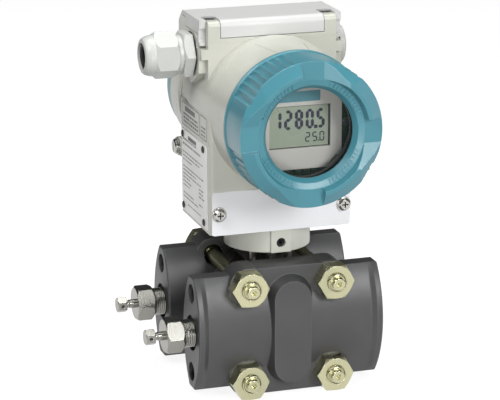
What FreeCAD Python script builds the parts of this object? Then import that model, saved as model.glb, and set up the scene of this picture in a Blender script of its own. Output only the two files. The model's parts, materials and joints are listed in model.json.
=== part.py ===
import FreeCAD, Part
import math
import os

# Differential pressure transmitter, built as it comes apart on a bench.
# Millimetres, +Z up.  The model is laid out about the axis on which the head swivels (X = 0, Y = 0),
# with Z = 0 at the height of the pressure ports, the window towards -Y.  On export everything moves
# so that the origin is the centre of the bolt pattern on the right-hand process face.

V = FreeCAD.Vector

# ---- process flanges ----
port_spacing = 54.0            # between the two pressure ports, along Y
face_hole_spacing = 41.3       # between the two threaded holes of one oval end face, along Z
flange_length = 98.2           # end face to end face, along X
flange_gap = 25.0              # between the two flanges' inner faces
oval_depth = 29.0              # oval end face, along Y
oval_height = 58.8             # oval end face, along Z
oval_flat = 8.0                # flat at the top and bottom of the oval
collar_width = 3.0             # full oval section at each end of a flange
collar_slope = 2.6             # length of the slope from the collar down to the barrel
barrel_inset = 1.9             # how far the barrel's outer side lies under the collar
port_radius = 6.85             # 1/4-18 NPT port
port_depth = 17.0
port_seat_radius = 9.2         # recess round the port for the seal of a manifold
port_seat_depth = 2.0
passage_radius = 4.0           # drilling from the port to the middle of the flange
face_hole_radius = 4.95        # 7/16-20 UNF, drilled size
face_hole_depth = 14.0
bolt_pitch_x = 45.2            # between the flange bolts, along X
bolt_pitch_z = 49.2            # between the flange bolts, along Z
ear_radius = 9.0               # metal round each flange bolt
ear_depth = 14.5               # thickness of the eared block, along Y
ear_standoff = 9.0             # from the plane of the cell's seat back to the eared block
ear_step = 0.4                 # how far the ears stand over the block between them
ear_step_half = 17.8
seat_radius = 28.4             # round seat for the measuring cell
bolt_hole_radius = 5.3
spot_face_radius = 10.4
pad_half_width = 9.7           # raised tombstone pad on the outer side
pad_half_height = 26.8
pad_rise = 0.9                 # pad face over the collars
pad_draft = 2.3
casting_round = 1.2

# ---- flange bolts and nuts ----
bolt_radius = 4.9
waist_radius = 3.6             # waisted shank between the flanges
hex_across_flats = 17.0
nut_height = 8.0
bolt_head_height = 6.4
thread_stand_out = 1.2         # thread beyond the nut
dog_radius = 3.4
dog_length = 2.9
centre_hole_radius = 1.35
centre_hole_depth = 2.4
thread_clearance = 0.05

# ---- measuring cell ----
cell_radius = 27.4
face_clearance = 0.2           # between the cell's faces and the flanges
cell_waist_radius = 25.8
cell_waist_half = 3.0
cell_top = 29.6
cell_shoulder_half = 14.0
chamber_radius = 19.5
chamber_depth = 1.2
gasket_inner_radius = 21.0
gasket_outer_radius = 24.0
gasket_depth = 2.0
diaphragm_thickness = 0.15
diaphragm_radius = 18.8
cross_hole_radius = 2.5

# ---- cell neck that carries the head ----
spigot_radius = 15.8
spigot_bottom = 37.2
spigot_top = 46.4
swivel_clearance = 0.05
pillar_circle = 13.0
pillar_radius = 1.9
pillar_angle = 38.0
key_pin_radius = 1.0
key_pin_angle = -12.0
stem_radius = 5.0
lead_bore_radius = 2.6
seal_section = 1.9
seal_clearance = 0.1

# ---- vent plugs and vent screws ----
plug_thread_radius = 6.78
plug_thread_show = 5.6         # thread left showing outside the face
plug_thread_in = 9.0
plug_hex_flats = 16.4
plug_hex_length = 9.0
plug_bore_radius = 2.3
vent_screw_radius = 2.25
vent_neck_radius = 1.9
vent_gap = 4.8                 # from the plug's hexagon to the vent screw's head
vent_head_flats = 7.2
vent_head_length = 4.9
vent_cross_hole = 0.9

# ---- head casting ----
drum_axis_z = 108.8
drum_swell = 1.6               # drum in the middle over its ends, on the radius
cap_overhang = 0.3             # side of a cap over the end of the drum, on the radius
drum_front = 42.8              # shoulder behind the window cap
drum_rear = 31.3               # shoulder behind the rear cap
drum_straight_front = 8.9
drum_straight_rear = 12.0
collar_radius = 33.1           # threaded collar inside each cap
collar_length = 10.7
collar_wall = 3.1
wall_front = 6.5               # partition between the two chambers
wall_thickness = 4.0
block_margin = 0.1             # lower block over the drum, each side
block_front = 22.75
block_rear = 28.0
block_bottom = 48.4
block_taper = 0.5
block_corner = 2.0
neck_radius = 22.3
neck_bottom = 36.5
neck_pad_half = 5.3
neck_pad_rise = 0.7
set_screw_z = 41.6
set_screw_radius = 2.4
set_screw_length = 5.2
lead_passage_radius = 9.0
ground_boss_y = 31.5
ground_boss_z = 82.0
ground_boss_radius = 5.0
ground_boss_inset = 5.9        # root of the boss inside the cap's rim, still clear of the cap
ground_boss_rise = 0.3

# ---- key block on top of the head ----
key_block_half_width = 33.9     # between the two posts in front
top_sink = 10.5                # level from which the top is laid out, under the drum's top
key_block_rear = 30.6
key_block_rise = 16.4          # this and the other rises are over that level
slope_rise = 43.2              # Y + Z along the slope behind the cover, over that level
entry_y = 8.0                  # cable entries
entry_z = 136.0
entry_bore_radius = 9.3
entry_bore_depth = 18.5
entry_boss_radius = 15.5       # corners of the six-sided boss
entry_boss_rise = 11.8
ledge_rise = 4.8
ledge_fall = 0.4
ledge_step = 0.4               # ledge and sides behind the face of the entries
post_inner = 27.5
post_outer = 33.7
post_rear = 4.6
post_rise = 18.6
post_round = 3.0
screw_seat_rise = 15.8

# ---- cover over the keys ----
cover_half_width = 37.4
cover_front = 8.9
cover_rise = 19.1
cover_thickness = 2.4
cover_edge_round = 3.6
skirt_half_width = 27.2
skirt_rise = 10.3
lug_thickness = 3.4
lug_depth = 6.9
lug_rise = 6.2
lug_slot_radius = 0.9
lug_slot_length = 6.8
side_rise = 12.0
side_rear = 18.5
hinge_y = 23.3
ear_inner = 24.0               # the ears that carry the hinge pins
ear_outer = 29.0
pin_radius = 0.6
pin_length = 11.0
pin_clearance = 0.03
rear_seam = 0.4                # between the cover's rear edge and the slope
notch_radius = 3.9
cover_screw_y = 0.9
cover_screw_head = 3.4
cover_screw_head_height = 2.4
cover_screw_shank = 1.6
cover_screw_length = 7.0
gap = 0.3                      # plain clearance between pieces that move past each other

# ---- keys ----
key_count = 3
key_pitch = 15.5
key_y = 8.0
key_width = 11.6
key_depth = 9.0
key_height = 2.7
key_stand = 1.3                # key over the pocket floor, at rest
key_stem_radius = 2.95
key_stem_length = 3.2
pocket_rise = 8.0
pocket_half_width = 26.0
pocket_front = 3.0
pocket_rear = 18.4

# ---- screw caps ----
cap_side_wall = 3.0
cap_rim_step = 0.5
cap_rim_width = 1.6
cap_depth = 24.75              # rim to the flat front between the lobes
cap_play = 0.3                 # cap thread over the collar, on the radius
cap_thread_depth = 12.0
lobe_rise = 3.7                # lobe crest over the flat front
lobe_inner_foot = 27.5
lobe_inner_crest = 28.8
lobe_outer_crest = 30.6
gap_half_width = 6.1           # half of the slot between two lobes
ramp_end_angle = 37.0          # where the ramp and the start facet reach the crest
facet_angle = 31.0             # way the start facet faces
facet_slope = 0.75
groove_count = 8
groove_middle_angle = 52.0
groove_pitch_angle = 6.2
groove_radius = 2.4
groove_depth = 1.2
window_radius = 22.4
bezel_radius = 24.3
bezel_drop = 0.9               # shallow slope between the bezel and the flat front
print_radius = 27.2
bezel_depth = 4.1
glass_radius = 26.5
glass_thickness = 5.0
retainer_thickness = 2.2
retainer_inner_radius = 23.2
cap_wall = 4.2                 # plain front wall of the rear cap

# ---- display and electronics ----
display_front = 49.0
display_x = 0.6                # the display sits this far off the middle
plate_half_width = 21.7
plate_bottom = 86.9
plate_top = 130.7
plate_chamfer = 6.4
plate_thickness = 2.2
lcd_half_width = 15.8
lcd_bottom = 97.7
lcd_top = 118.9
lcd_recess = 1.1
lcd_thickness = 1.6
board_thickness = 1.6
board_room = 2.5               # round the board in its chamber
module_room = 5.0
module_depth = 26.0
module_screw_x = 25.1
module_screw_z = 0.0
module_screw_radius = 1.5
module_screw_head = 2.3

# ---- terminals ----
terminal_half_width = 17.0
terminal_height = 15.0
terminal_depth = 11.0
terminal_drop = 14.8           # below the middle of the chamber
terminal_count = 4
terminal_pitch = 8.0
terminal_screw_radius = 2.6

# ---- cable gland and blanking plug ----
gasket_thickness = 0.9
gland_gasket_radius = 10.9
gland_thread_radius = 9.2
gland_thread_length = 9.0
gland_hex_flats = 21.6
gland_hex_length = 5.1
gland_collar_radius = 9.7
gland_collar_length = 2.5
gland_stem_radius = 8.4
gland_stem_length = 9.0
gland_bore_radius = 6.6
dome_hex_flats = 21.0
dome_hex_length = 10.9
dome_length = 6.4
dome_radius = 10.5
dome_tip_radius = 7.9
dome_hole_radius = 6.9
insert_hole_radius = 5.0
insert_length = 12.0
plug_head_radius = 10.2
plug_head_length = 3.4
plug_socket_flats = 8.0

# ---- plates and small screws ----
name_plate_front = 18.1
name_plate_rear = 24.8
name_plate_bottom = 50.2
name_plate_top = 93.7
plate_sheet = 0.5
rivet_radius = 1.9
rivet_rise = 0.8
rivet_margin_front = 5.1
rivet_margin_rear = 2.5
rivet_margin_z = 2.7
side_label_front = 18.9
side_label_rear = 24.4
side_label_bottom = 95.6
side_label_top = 108.4
label_film = 0.2
label_plate_half_width = 36.8
label_plate_gap = 0.3          # under the drum
label_plate_sheet = 0.8
label_screw_x = 33.2
label_screw_z = 59.5
label_screw_head = 3.3
label_screw_rise = 2.2
label_screw_shank = 1.9
label_screw_length = 8.0
washer_radius = 3.8
washer_thickness = 0.8
ground_screw_head = 3.9
ground_screw_rise = 1.7
ground_screw_shank = 2.0
ground_screw_length = 5.5
ground_washer_radius = 4.6

# ---- sizes that follow from those above ----
port_y = port_spacing / 2
inner_face = flange_gap / 2
oval_half = oval_height / 2
flange_half = flange_length / 2
bolt_x = bolt_pitch_x / 2
bolt_z = bolt_pitch_z / 2
ear_back = inner_face + ear_standoff
ear_face = ear_back + ear_depth
pad_face = port_y + oval_depth / 2 + pad_rise
cell_face = inner_face - face_clearance
neck_bore = spigot_radius + swivel_clearance
cap_front_y = drum_front + gap
cap_rear_y = drum_rear + gap
cap_face = cap_front_y + cap_depth
lobe_crest = cap_depth + lobe_rise
glass_front = cap_depth - bezel_depth - 0.1
partition_back = wall_thickness - wall_front
# caps and drum are built out from the threaded collars, and the block from the drum
cap_bore = collar_radius + cap_play
cap_radius = cap_bore + cap_side_wall
cap_rim_radius = cap_radius + cap_rim_step
chamber_bore = collar_radius - collar_wall
drum_end_radius = cap_radius - cap_overhang
drum_radius = drum_end_radius + drum_swell
block_half_width = drum_radius + block_margin
entry_boss_face = block_half_width
ledge_out = entry_boss_face - ledge_step
wing_half_width = ledge_out    # the sides, flush with the cover
ground_boss_root = cap_rim_radius - ground_boss_inset
ground_boss_face = block_half_width + ground_boss_rise
label_plate_top = drum_axis_z - drum_radius - label_plate_gap
board_radius = chamber_bore - board_room
module_radius = chamber_bore - module_room
terminal_z = drum_axis_z - terminal_drop
# the key block and its cover stand over the drum or over the entries, whichever is higher
top_base = max(drum_axis_z + drum_radius - top_sink, entry_z)
wing_foot = top_base
key_block_top = top_base + key_block_rise
slope_height = top_base + slope_rise
entry_boss_top = top_base + entry_boss_rise
ledge_top = top_base + ledge_rise
ledge_bottom = top_base - ledge_fall
post_top = top_base + post_rise
screw_seat_z = top_base + screw_seat_rise
cover_top = top_base + cover_rise
skirt_bottom = top_base + skirt_rise
lug_bottom = top_base + lug_rise
side_bottom = top_base + side_rise
pocket_floor = top_base + pocket_rise
cover_inner_top = cover_top - cover_thickness
hinge_z = cover_top - cover_thickness / 2
hinge_radius = cover_thickness / 2
pin_x = (ear_inner + ear_outer - pin_length) / 2
cover_rear = hinge_y + hinge_radius


# ---- helpers ----
def box(x0, x1, y0, y1, z0, z1):
    return Part.makeBox(x1 - x0, y1 - y0, z1 - z0, V(x0, y0, z0))


def rod(radius, start, end):
    step = V(*end) - V(*start)
    return Part.makeCylinder(radius, step.Length, V(*start), step)


def tube(outer, inner, start, end):
    return rod(outer, start, end).cut(rod(inner, start, end))


def prism(points, shift):
    """A straight prism on a closed outline of points."""
    wire = Part.makePolygon([V(*p) for p in points] + [V(*points[0])])
    return Part.Face(wire).extrude(V(*shift))


def turned(points, centre, axis, side, angle=360.0):
    """Turn (radius, distance along the axis) points about an axis."""
    along = V(*axis)
    out = V(*side)
    base = V(*centre)
    corners = [base + out * r + along * d for r, d in points]
    face = Part.Face(Part.makePolygon(corners + [corners[0]]))
    return face.revolve(base, along, angle)


def hexagon(flats, start, end, corner):
    """Hexagonal prism between two points, with one corner towards a direction."""
    first = V(*start)
    axis = V(*end) - first
    arm = V(*corner)
    arm.normalize()
    arm = arm * (flats / math.sqrt(3))
    turn = FreeCAD.Rotation(axis, 60)
    corners = []
    for _ in range(6):
        corners.append(first + arm)
        arm = turn.multVec(arm)
    return Part.Face(Part.makePolygon(corners + [corners[0]])).extrude(axis)


def chamfered_hex(flats, start, end, corner, bevel, both=True):
    """A hexagon whose corners are turned off at its far end, or at both ends."""
    first = V(*start)
    axis = V(*end) - first
    length = axis.Length
    axis.normalize()
    big = flats / math.sqrt(3)
    small = flats / 2
    near = small if both else big
    points = [(0, 0), (near, 0), (big, bevel if both else 0), (big, length - bevel),
              (small, length), (0, length)]
    side = V(*corner)
    side.normalize()
    limit = turned(points, start, axis, side)
    return hexagon(flats, start, end, corner).common(limit)


def sector(a0, a1, radius, y0, y1):
    """Wedge round the drum axis between two angles, clockwise from the top seen from the front."""
    steps = max(2, int(abs(a1 - a0) // 30) + 2)
    points = [(0, y0, 0)]
    for i in range(steps):
        a = math.radians(a0 + (a1 - a0) * i / (steps - 1))
        points.append((radius * math.sin(a), y0, radius * math.cos(a)))
    return prism(points, (0, y1 - y0, 0))


def rounded(shape, radius, pick):
    """Round the edges that the test picks."""
    edges = [e for e in shape.Edges if pick(e)]
    return shape.makeFillet(radius, edges) if edges else shape


def edge_box(edge):
    return edge.BoundBox


def export(shape, node):
    shape = shape.copy()
    shape.translate(V(-flange_half, 0, 0))
    shape.exportStep("parts/" + node + ".step")


def group(shapes):
    return Part.makeCompound(shapes)


def mirror_x(shape):
    return shape.mirror(V(0, 0, 0), V(1, 0, 0))


def turn_about_z(shape):
    copy = shape.copy()
    copy.rotate(V(0, 0, 0), V(0, 0, 1), 180)
    return copy


# ---- process side ----
def oval_wire(x, outer_half):
    """Oval section at one X; the outer side may lie further in than the inner side."""
    flat = oval_flat / 2
    top_out = V(x, -port_y - flat, oval_half)
    low_out = V(x, -port_y - flat, -oval_half)
    top_in = V(x, -port_y + flat, oval_half)
    low_in = V(x, -port_y + flat, -oval_half)
    outer = Part.Arc(top_out, V(x, -port_y - outer_half, 0), low_out)
    inner = Part.Arc(low_in, V(x, -port_y + oval_depth / 2, 0), top_in)
    edges = [outer.toShape(), Part.LineSegment(low_out, low_in).toShape(),
             inner.toShape(), Part.LineSegment(top_in, top_out).toShape()]
    return Part.Wire(edges)


def stadium_wire(y, half_width, half_height):
    straight = half_height - half_width
    left_low, left_top = V(-half_width, y, -straight), V(-half_width, y, straight)
    right_low, right_top = V(half_width, y, -straight), V(half_width, y, straight)
    edges = [Part.LineSegment(left_low, left_top).toShape(),
             Part.Arc(left_top, V(0, y, half_height), right_top).toShape(),
             Part.LineSegment(right_top, right_low).toShape(),
             Part.Arc(right_low, V(0, y, -half_height), left_low).toShape()]
    return Part.Wire(edges)


def eared_block():
    """Block that joins the four bolt ears, with round corners about the bolts."""
    full_x, full_z = bolt_x + ear_radius, bolt_z + ear_radius
    block = box(-full_x, full_x, -ear_face, -ear_back, -full_z, full_z)

    def corner(e):
        b = edge_box(e)
        return b.YLength > ear_depth / 2 and b.XLength < 0.01
    block = rounded(block, ear_radius - 0.01, corner)
    steps = [box(-ear_step_half, ear_step_half, -ear_face - 1, 0, full_z - ear_step, full_z + 1),
             box(-ear_step_half, ear_step_half, -ear_face - 1, 0, -full_z - 1, -full_z + ear_step)]
    return block.cut(steps)


def process_flange():
    full = oval_depth / 2
    lean = full - barrel_inset
    slope_start = flange_half - collar_width
    slope_end = slope_start - collar_slope
    barrel = Part.Face(oval_wire(-slope_end, lean)).extrude(V(2 * slope_end, 0, 0))
    solids = [eared_block(), rod(seat_radius, (0, -port_y, 0), (0, -inner_face, 0))]
    for side in (-1, 1):
        collar = Part.Face(oval_wire(side * slope_start, full)).extrude(V(side * collar_width, 0, 0))
        rim = [e for e in collar.Edges
               if edge_box(e).XLength < 0.01 and abs(edge_box(e).XMin - side * flange_half) < 0.01]
        collar = collar.makeChamfer(casting_round / 2, rim)
        solids.append(collar)
        solids.append(Part.makeLoft([oval_wire(side * slope_start, full),
                                     oval_wire(side * slope_end, lean)], True))
    foot = ear_face - 1.0
    wide = pad_draft * (pad_face - foot) / (pad_face - ear_face)
    pad = Part.makeLoft([stadium_wire(-pad_face, pad_half_width, pad_half_height),
                         stadium_wire(-foot, pad_half_width + wide, pad_half_height + wide)], True)
    pad = pad.common(box(-flange_half, flange_half, -pad_face, -inner_face,
                         -bolt_z - ear_radius, bolt_z + ear_radius))
    solids.append(pad)
    body = barrel.multiFuse(solids)
    tools = []
    for x in (-bolt_x, bolt_x):
        for z in (-bolt_z, bolt_z):
            tools.append(rod(bolt_hole_radius, (x, -pad_face - 1, z), (x, 0, z)))
            tools.append(rod(spot_face_radius, (x, -pad_face - 1, z), (x, -ear_face, z)))
    for side in (-1, 1):
        face = side * flange_half
        tools.append(rod(port_radius, (face, -port_y, 0), (face - side * port_depth, -port_y, 0)))
        tools.append(rod(passage_radius, (face, -port_y, 0), (side * 1.0, -port_y, 0)))
        tools.append(rod(port_seat_radius, (face, -port_y, 0),
                         (face - side * port_seat_depth, -port_y, 0)))
        for z in (-face_hole_spacing / 2, face_hole_spacing / 2):
            tools.append(rod(face_hole_radius, (face, -port_y, z),
                             (face - side * face_hole_depth, -port_y, z)))
    tools.append(rod(chamber_radius, (0, -inner_face - chamber_depth, 0), (0, 0, 0)))
    tools.append(tube(gasket_outer_radius, gasket_inner_radius,
                      (0, -inner_face - gasket_depth, 0), (0, 0, 0)))
    tools.append(rod(cross_hole_radius, (3 * passage_radius, -port_y, 0), (3 * passage_radius, 0, 0)))
    return body.cut(tools).removeSplitter()


def flange_bolt(x, z):
    head = chamfered_hex(hex_across_flats, (x, ear_face, z), (x, ear_face + bolt_head_height, z),
                         (1, 0, 0), 1.0, both=False)
    end = -(ear_face + nut_height + thread_stand_out)
    profile = [(0, ear_face), (bolt_radius, ear_face), (bolt_radius, ear_back + 2),
               (waist_radius, ear_back), (waist_radius, -ear_back),
               (bolt_radius, -ear_back - 2), (bolt_radius, end + 0.8),
               (bolt_radius - 0.8, end), (dog_radius, end), (dog_radius, end - dog_length + 0.5),
               (dog_radius - 0.5, end - dog_length), (centre_hole_radius, end - dog_length),
               (centre_hole_radius, end - dog_length + centre_hole_depth),
               (0, end - dog_length + centre_hole_depth)]
    shank = turned(profile, (x, 0, z), (0, 1, 0), (1, 0, 0))
    return head.fuse(shank)


def flange_nut(x, z):
    seat = -ear_face
    nut = chamfered_hex(hex_across_flats, (x, seat, z), (x, seat - nut_height, z), (1, 0, 0), 0.9,
                        both=False)
    hole = rod(bolt_radius + thread_clearance, (x, seat, z), (x, seat - nut_height, z))
    return nut.cut(hole)


def bolt_places():
    return [(x, z) for x in (-bolt_x, bolt_x) for z in (-bolt_z, bolt_z)]


def measuring_cell():
    profile = [(0, -cell_face), (cell_radius, -cell_face), (cell_radius, -cell_waist_half - 1),
               (cell_waist_radius, -cell_waist_half), (cell_waist_radius, cell_waist_half),
               (cell_radius, cell_waist_half + 1), (cell_radius, cell_face), (0, cell_face)]
    body = turned(profile, (0, 0, 0), (0, 1, 0), (1, 0, 0))
    shoulder = box(-cell_shoulder_half, cell_shoulder_half, -cell_face, cell_face, 0, cell_top)
    return body.fuse(shoulder).removeSplitter()


def isolating_diaphragm():
    """Thin metal disc with two rolled waves, on the cell's front face."""
    waves = 2
    step = diaphragm_radius / (2 * waves + 1)
    points = [(0, 0), (diaphragm_radius, 0), (diaphragm_radius, diaphragm_thickness)]
    for i in range(2 * waves, 0, -1):
        lift = 3.0 if i % 2 else 1.0
        points.append((i * step, diaphragm_thickness * lift))
    points.append((0, diaphragm_thickness))
    return turned(points, (0, -cell_face, 0), (0, -1, 0), (1, 0, 0))


def process_gasket():
    slack = face_clearance / 2
    return tube(gasket_outer_radius - slack, gasket_inner_radius + slack,
                (0, -inner_face - gasket_depth + slack, 0), (0, -cell_face, 0))


def cell_neck():
    top = rod(spigot_radius, (0, 0, spigot_bottom), (0, 0, spigot_top))
    groove_mid = (spigot_bottom + spigot_top) / 2 + seal_section
    groove = tube(spigot_radius + 1, spigot_radius - seal_section,
                  (0, 0, groove_mid - seal_section / 2), (0, 0, groove_mid + seal_section / 2))
    parts = [rod(stem_radius, (0, 0, cell_top), (0, 0, spigot_bottom))]
    for i in range(4):
        a = math.radians(pillar_angle + 90 * i)
        x, y = pillar_circle * math.sin(a), -pillar_circle * math.cos(a)
        parts.append(rod(pillar_radius, (x, y, cell_top), (x, y, spigot_bottom)))
    a = math.radians(key_pin_angle)
    x, y = (pillar_circle - 2) * math.sin(a), -(pillar_circle - 2) * math.cos(a)
    parts.append(rod(key_pin_radius, (x, y, cell_top), (x, y, spigot_bottom)))
    neck = top.cut(groove).multiFuse(parts)
    return neck.cut(rod(lead_bore_radius, (0, 0, cell_top), (0, 0, spigot_top)))


def neck_seal():
    middle = (spigot_bottom + spigot_top) / 2 + seal_section
    half = seal_section / 2 - 0.05
    return tube(neck_bore - seal_clearance, spigot_radius - seal_section + 0.05,
                (0, 0, middle - half), (0, 0, middle + half))


def vent_plug():
    face = -flange_half
    hex_start = face - plug_thread_show
    hex_end = hex_start - plug_hex_length
    thread = turned([(0, face + plug_thread_in), (plug_thread_radius - 0.8, face + plug_thread_in),
                     (plug_thread_radius, face + plug_thread_in - 1.2), (plug_thread_radius, hex_start),
                     (0, hex_start)], (0, -port_y, 0), (1, 0, 0), (0, 0, 1))
    head = chamfered_hex(plug_hex_flats, (hex_start, -port_y, 0), (hex_end, -port_y, 0),
                         (0, -1, 0), 1.2)
    bore = rod(plug_bore_radius, (face + plug_thread_in, -port_y, 0), (hex_end, -port_y, 0))
    return thread.fuse(head).cut(bore)


def vent_screw():
    hex_end = -flange_half - plug_thread_show - plug_hex_length
    head_start = hex_end - vent_gap
    head_end = head_start - vent_head_length
    shank_end = hex_end + plug_hex_length
    profile = [(0, shank_end + 2.0), (0.4, shank_end + 2.0), (vent_screw_radius, shank_end),
               (vent_screw_radius, head_start + 1.6), (vent_neck_radius, head_start + 1.2),
               (vent_neck_radius, head_start), (0, head_start)]
    shank = turned(profile, (0, -port_y, 0), (1, 0, 0), (0, 0, 1))
    head = chamfered_hex(vent_head_flats, (head_start, -port_y, 0), (head_end, -port_y, 0),
                         (0, 0, 1), 0.7)
    middle = (head_start + head_end) / 2
    hole = rod(vent_cross_hole, (middle, -port_y - vent_head_flats, 0),
               (middle, -port_y + vent_head_flats, 0))
    return shank.fuse(head).cut(hole)


# ---- head casting ----
def about_drum(points):
    return turned(points, (0, 0, drum_axis_z), (0, 1, 0), (1, 0, 0))


def drum():
    return about_drum([(0, -drum_front), (drum_end_radius, -drum_front),
                       (drum_radius, -drum_straight_front), (drum_radius, drum_straight_rear),
                       (drum_end_radius, drum_rear), (0, drum_rear)])


def lower_block():
    """Block under the drum, a little narrower at its foot."""
    low = block_half_width - block_taper

    def outline(half, z):
        points = [V(-half, -block_front, z), V(half, -block_front, z),
                  V(half, block_rear, z), V(-half, block_rear, z)]
        return Part.makePolygon(points + [points[0]])
    block = Part.makeLoft([outline(low, block_bottom), outline(block_half_width, drum_axis_z)], True)

    def upright(e):
        return edge_box(e).ZLength > 20
    return rounded(block, block_corner, upright)


def neck():
    ring = rod(neck_radius, (0, 0, neck_bottom), (0, 0, block_bottom + 1))
    pad = box(-neck_pad_half, neck_pad_half, -neck_radius - neck_pad_rise, 0, neck_bottom,
              block_bottom)
    return ring.fuse(pad)


def entry_boss(side):
    """Six-sided boss with a corner downwards, cut off flat under the cover."""
    boss = hexagon(entry_boss_radius * math.sqrt(3), (0, entry_y, entry_z),
                   (side * entry_boss_face, entry_y, entry_z), (0, 0, 1))
    keep = box(-entry_boss_face, entry_boss_face, -drum_front, drum_rear, drum_axis_z, entry_boss_top)
    return boss.common(keep)


def key_block():
    """Block under the key cover: narrow between the posts, full width behind them."""
    core = box(-key_block_half_width, key_block_half_width, -drum_straight_front, key_block_rear,
               drum_axis_z, key_block_top)
    wing_front = -cover_front + lug_depth + gap
    step_rear = side_rear + gap
    boss_rear = entry_y + entry_boss_radius * math.sqrt(3) / 2
    boss_low = entry_z - entry_boss_radius / 2
    slope_front = cover_rear + rear_seam
    outline = [(wing_front, wing_foot), (wing_front, side_bottom - gap), (step_rear, side_bottom - gap),
               (step_rear, key_block_top), (slope_front, key_block_top),
               (slope_front, slope_height - slope_front), (key_block_rear, slope_height - key_block_rear),
               (key_block_rear, wing_foot), (boss_rear, boss_low), (entry_y, boss_low)]
    wings = prism([(-wing_half_width, y, z) for y, z in outline], (2 * wing_half_width, 0, 0))
    slope = prism([(-wing_half_width, slope_front, slope_height - slope_front),
                   (-wing_half_width, key_block_rear + 9, slope_height - key_block_rear - 9),
                   (-wing_half_width, key_block_rear + 9, slope_height)],
                  (2 * wing_half_width, 0, 0))
    return core.fuse(wings).cut(slope)


def hinge_ears():
    """Two ears behind the cover, rounded about the hinge pins."""
    ears = []
    for side in (-1, 1):
        x0, x1 = sorted((side * ear_inner, side * ear_outer))
        ears.append(rod(hinge_radius, (x0, hinge_y, hinge_z), (x1, hinge_y, hinge_z)))
        ears.append(box(x0, x1, hinge_y, cover_rear + rear_seam + 1, key_block_top - 1,
                        hinge_z + gap))
        ears.append(box(x0, x1, hinge_y - hinge_radius, hinge_y, key_block_top - 1, hinge_z))
    return ears


def cover_posts():
    posts = []
    for side in (-1, 1):
        x0, x1 = sorted((side * post_inner, side * post_outer))
        front = box(x0, x1, -cover_front, cover_screw_y - cover_screw_head - gap, ledge_top, post_top)

        def lip(e):
            b = edge_box(e)
            return b.XLength > 1 and b.ZMin > post_top - 0.01 and b.YMax < -cover_front + 0.01
        posts.append(rounded(front, post_round, lip))
        posts.append(box(x0, x1, -cover_front, post_rear, ledge_top, screw_seat_z))
    return posts


def ground_boss():
    """Round boss for the ground screw, joined to the block by a web of its own width."""
    pad = rod(ground_boss_radius, (-ground_boss_root, ground_boss_y, ground_boss_z),
              (-ground_boss_face, ground_boss_y, ground_boss_z))
    web = box(-block_half_width + block_taper, -ground_boss_root, block_rear - 2, ground_boss_y,
              ground_boss_z - ground_boss_radius, ground_boss_z + ground_boss_radius)
    return pad.fuse(web)


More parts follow.
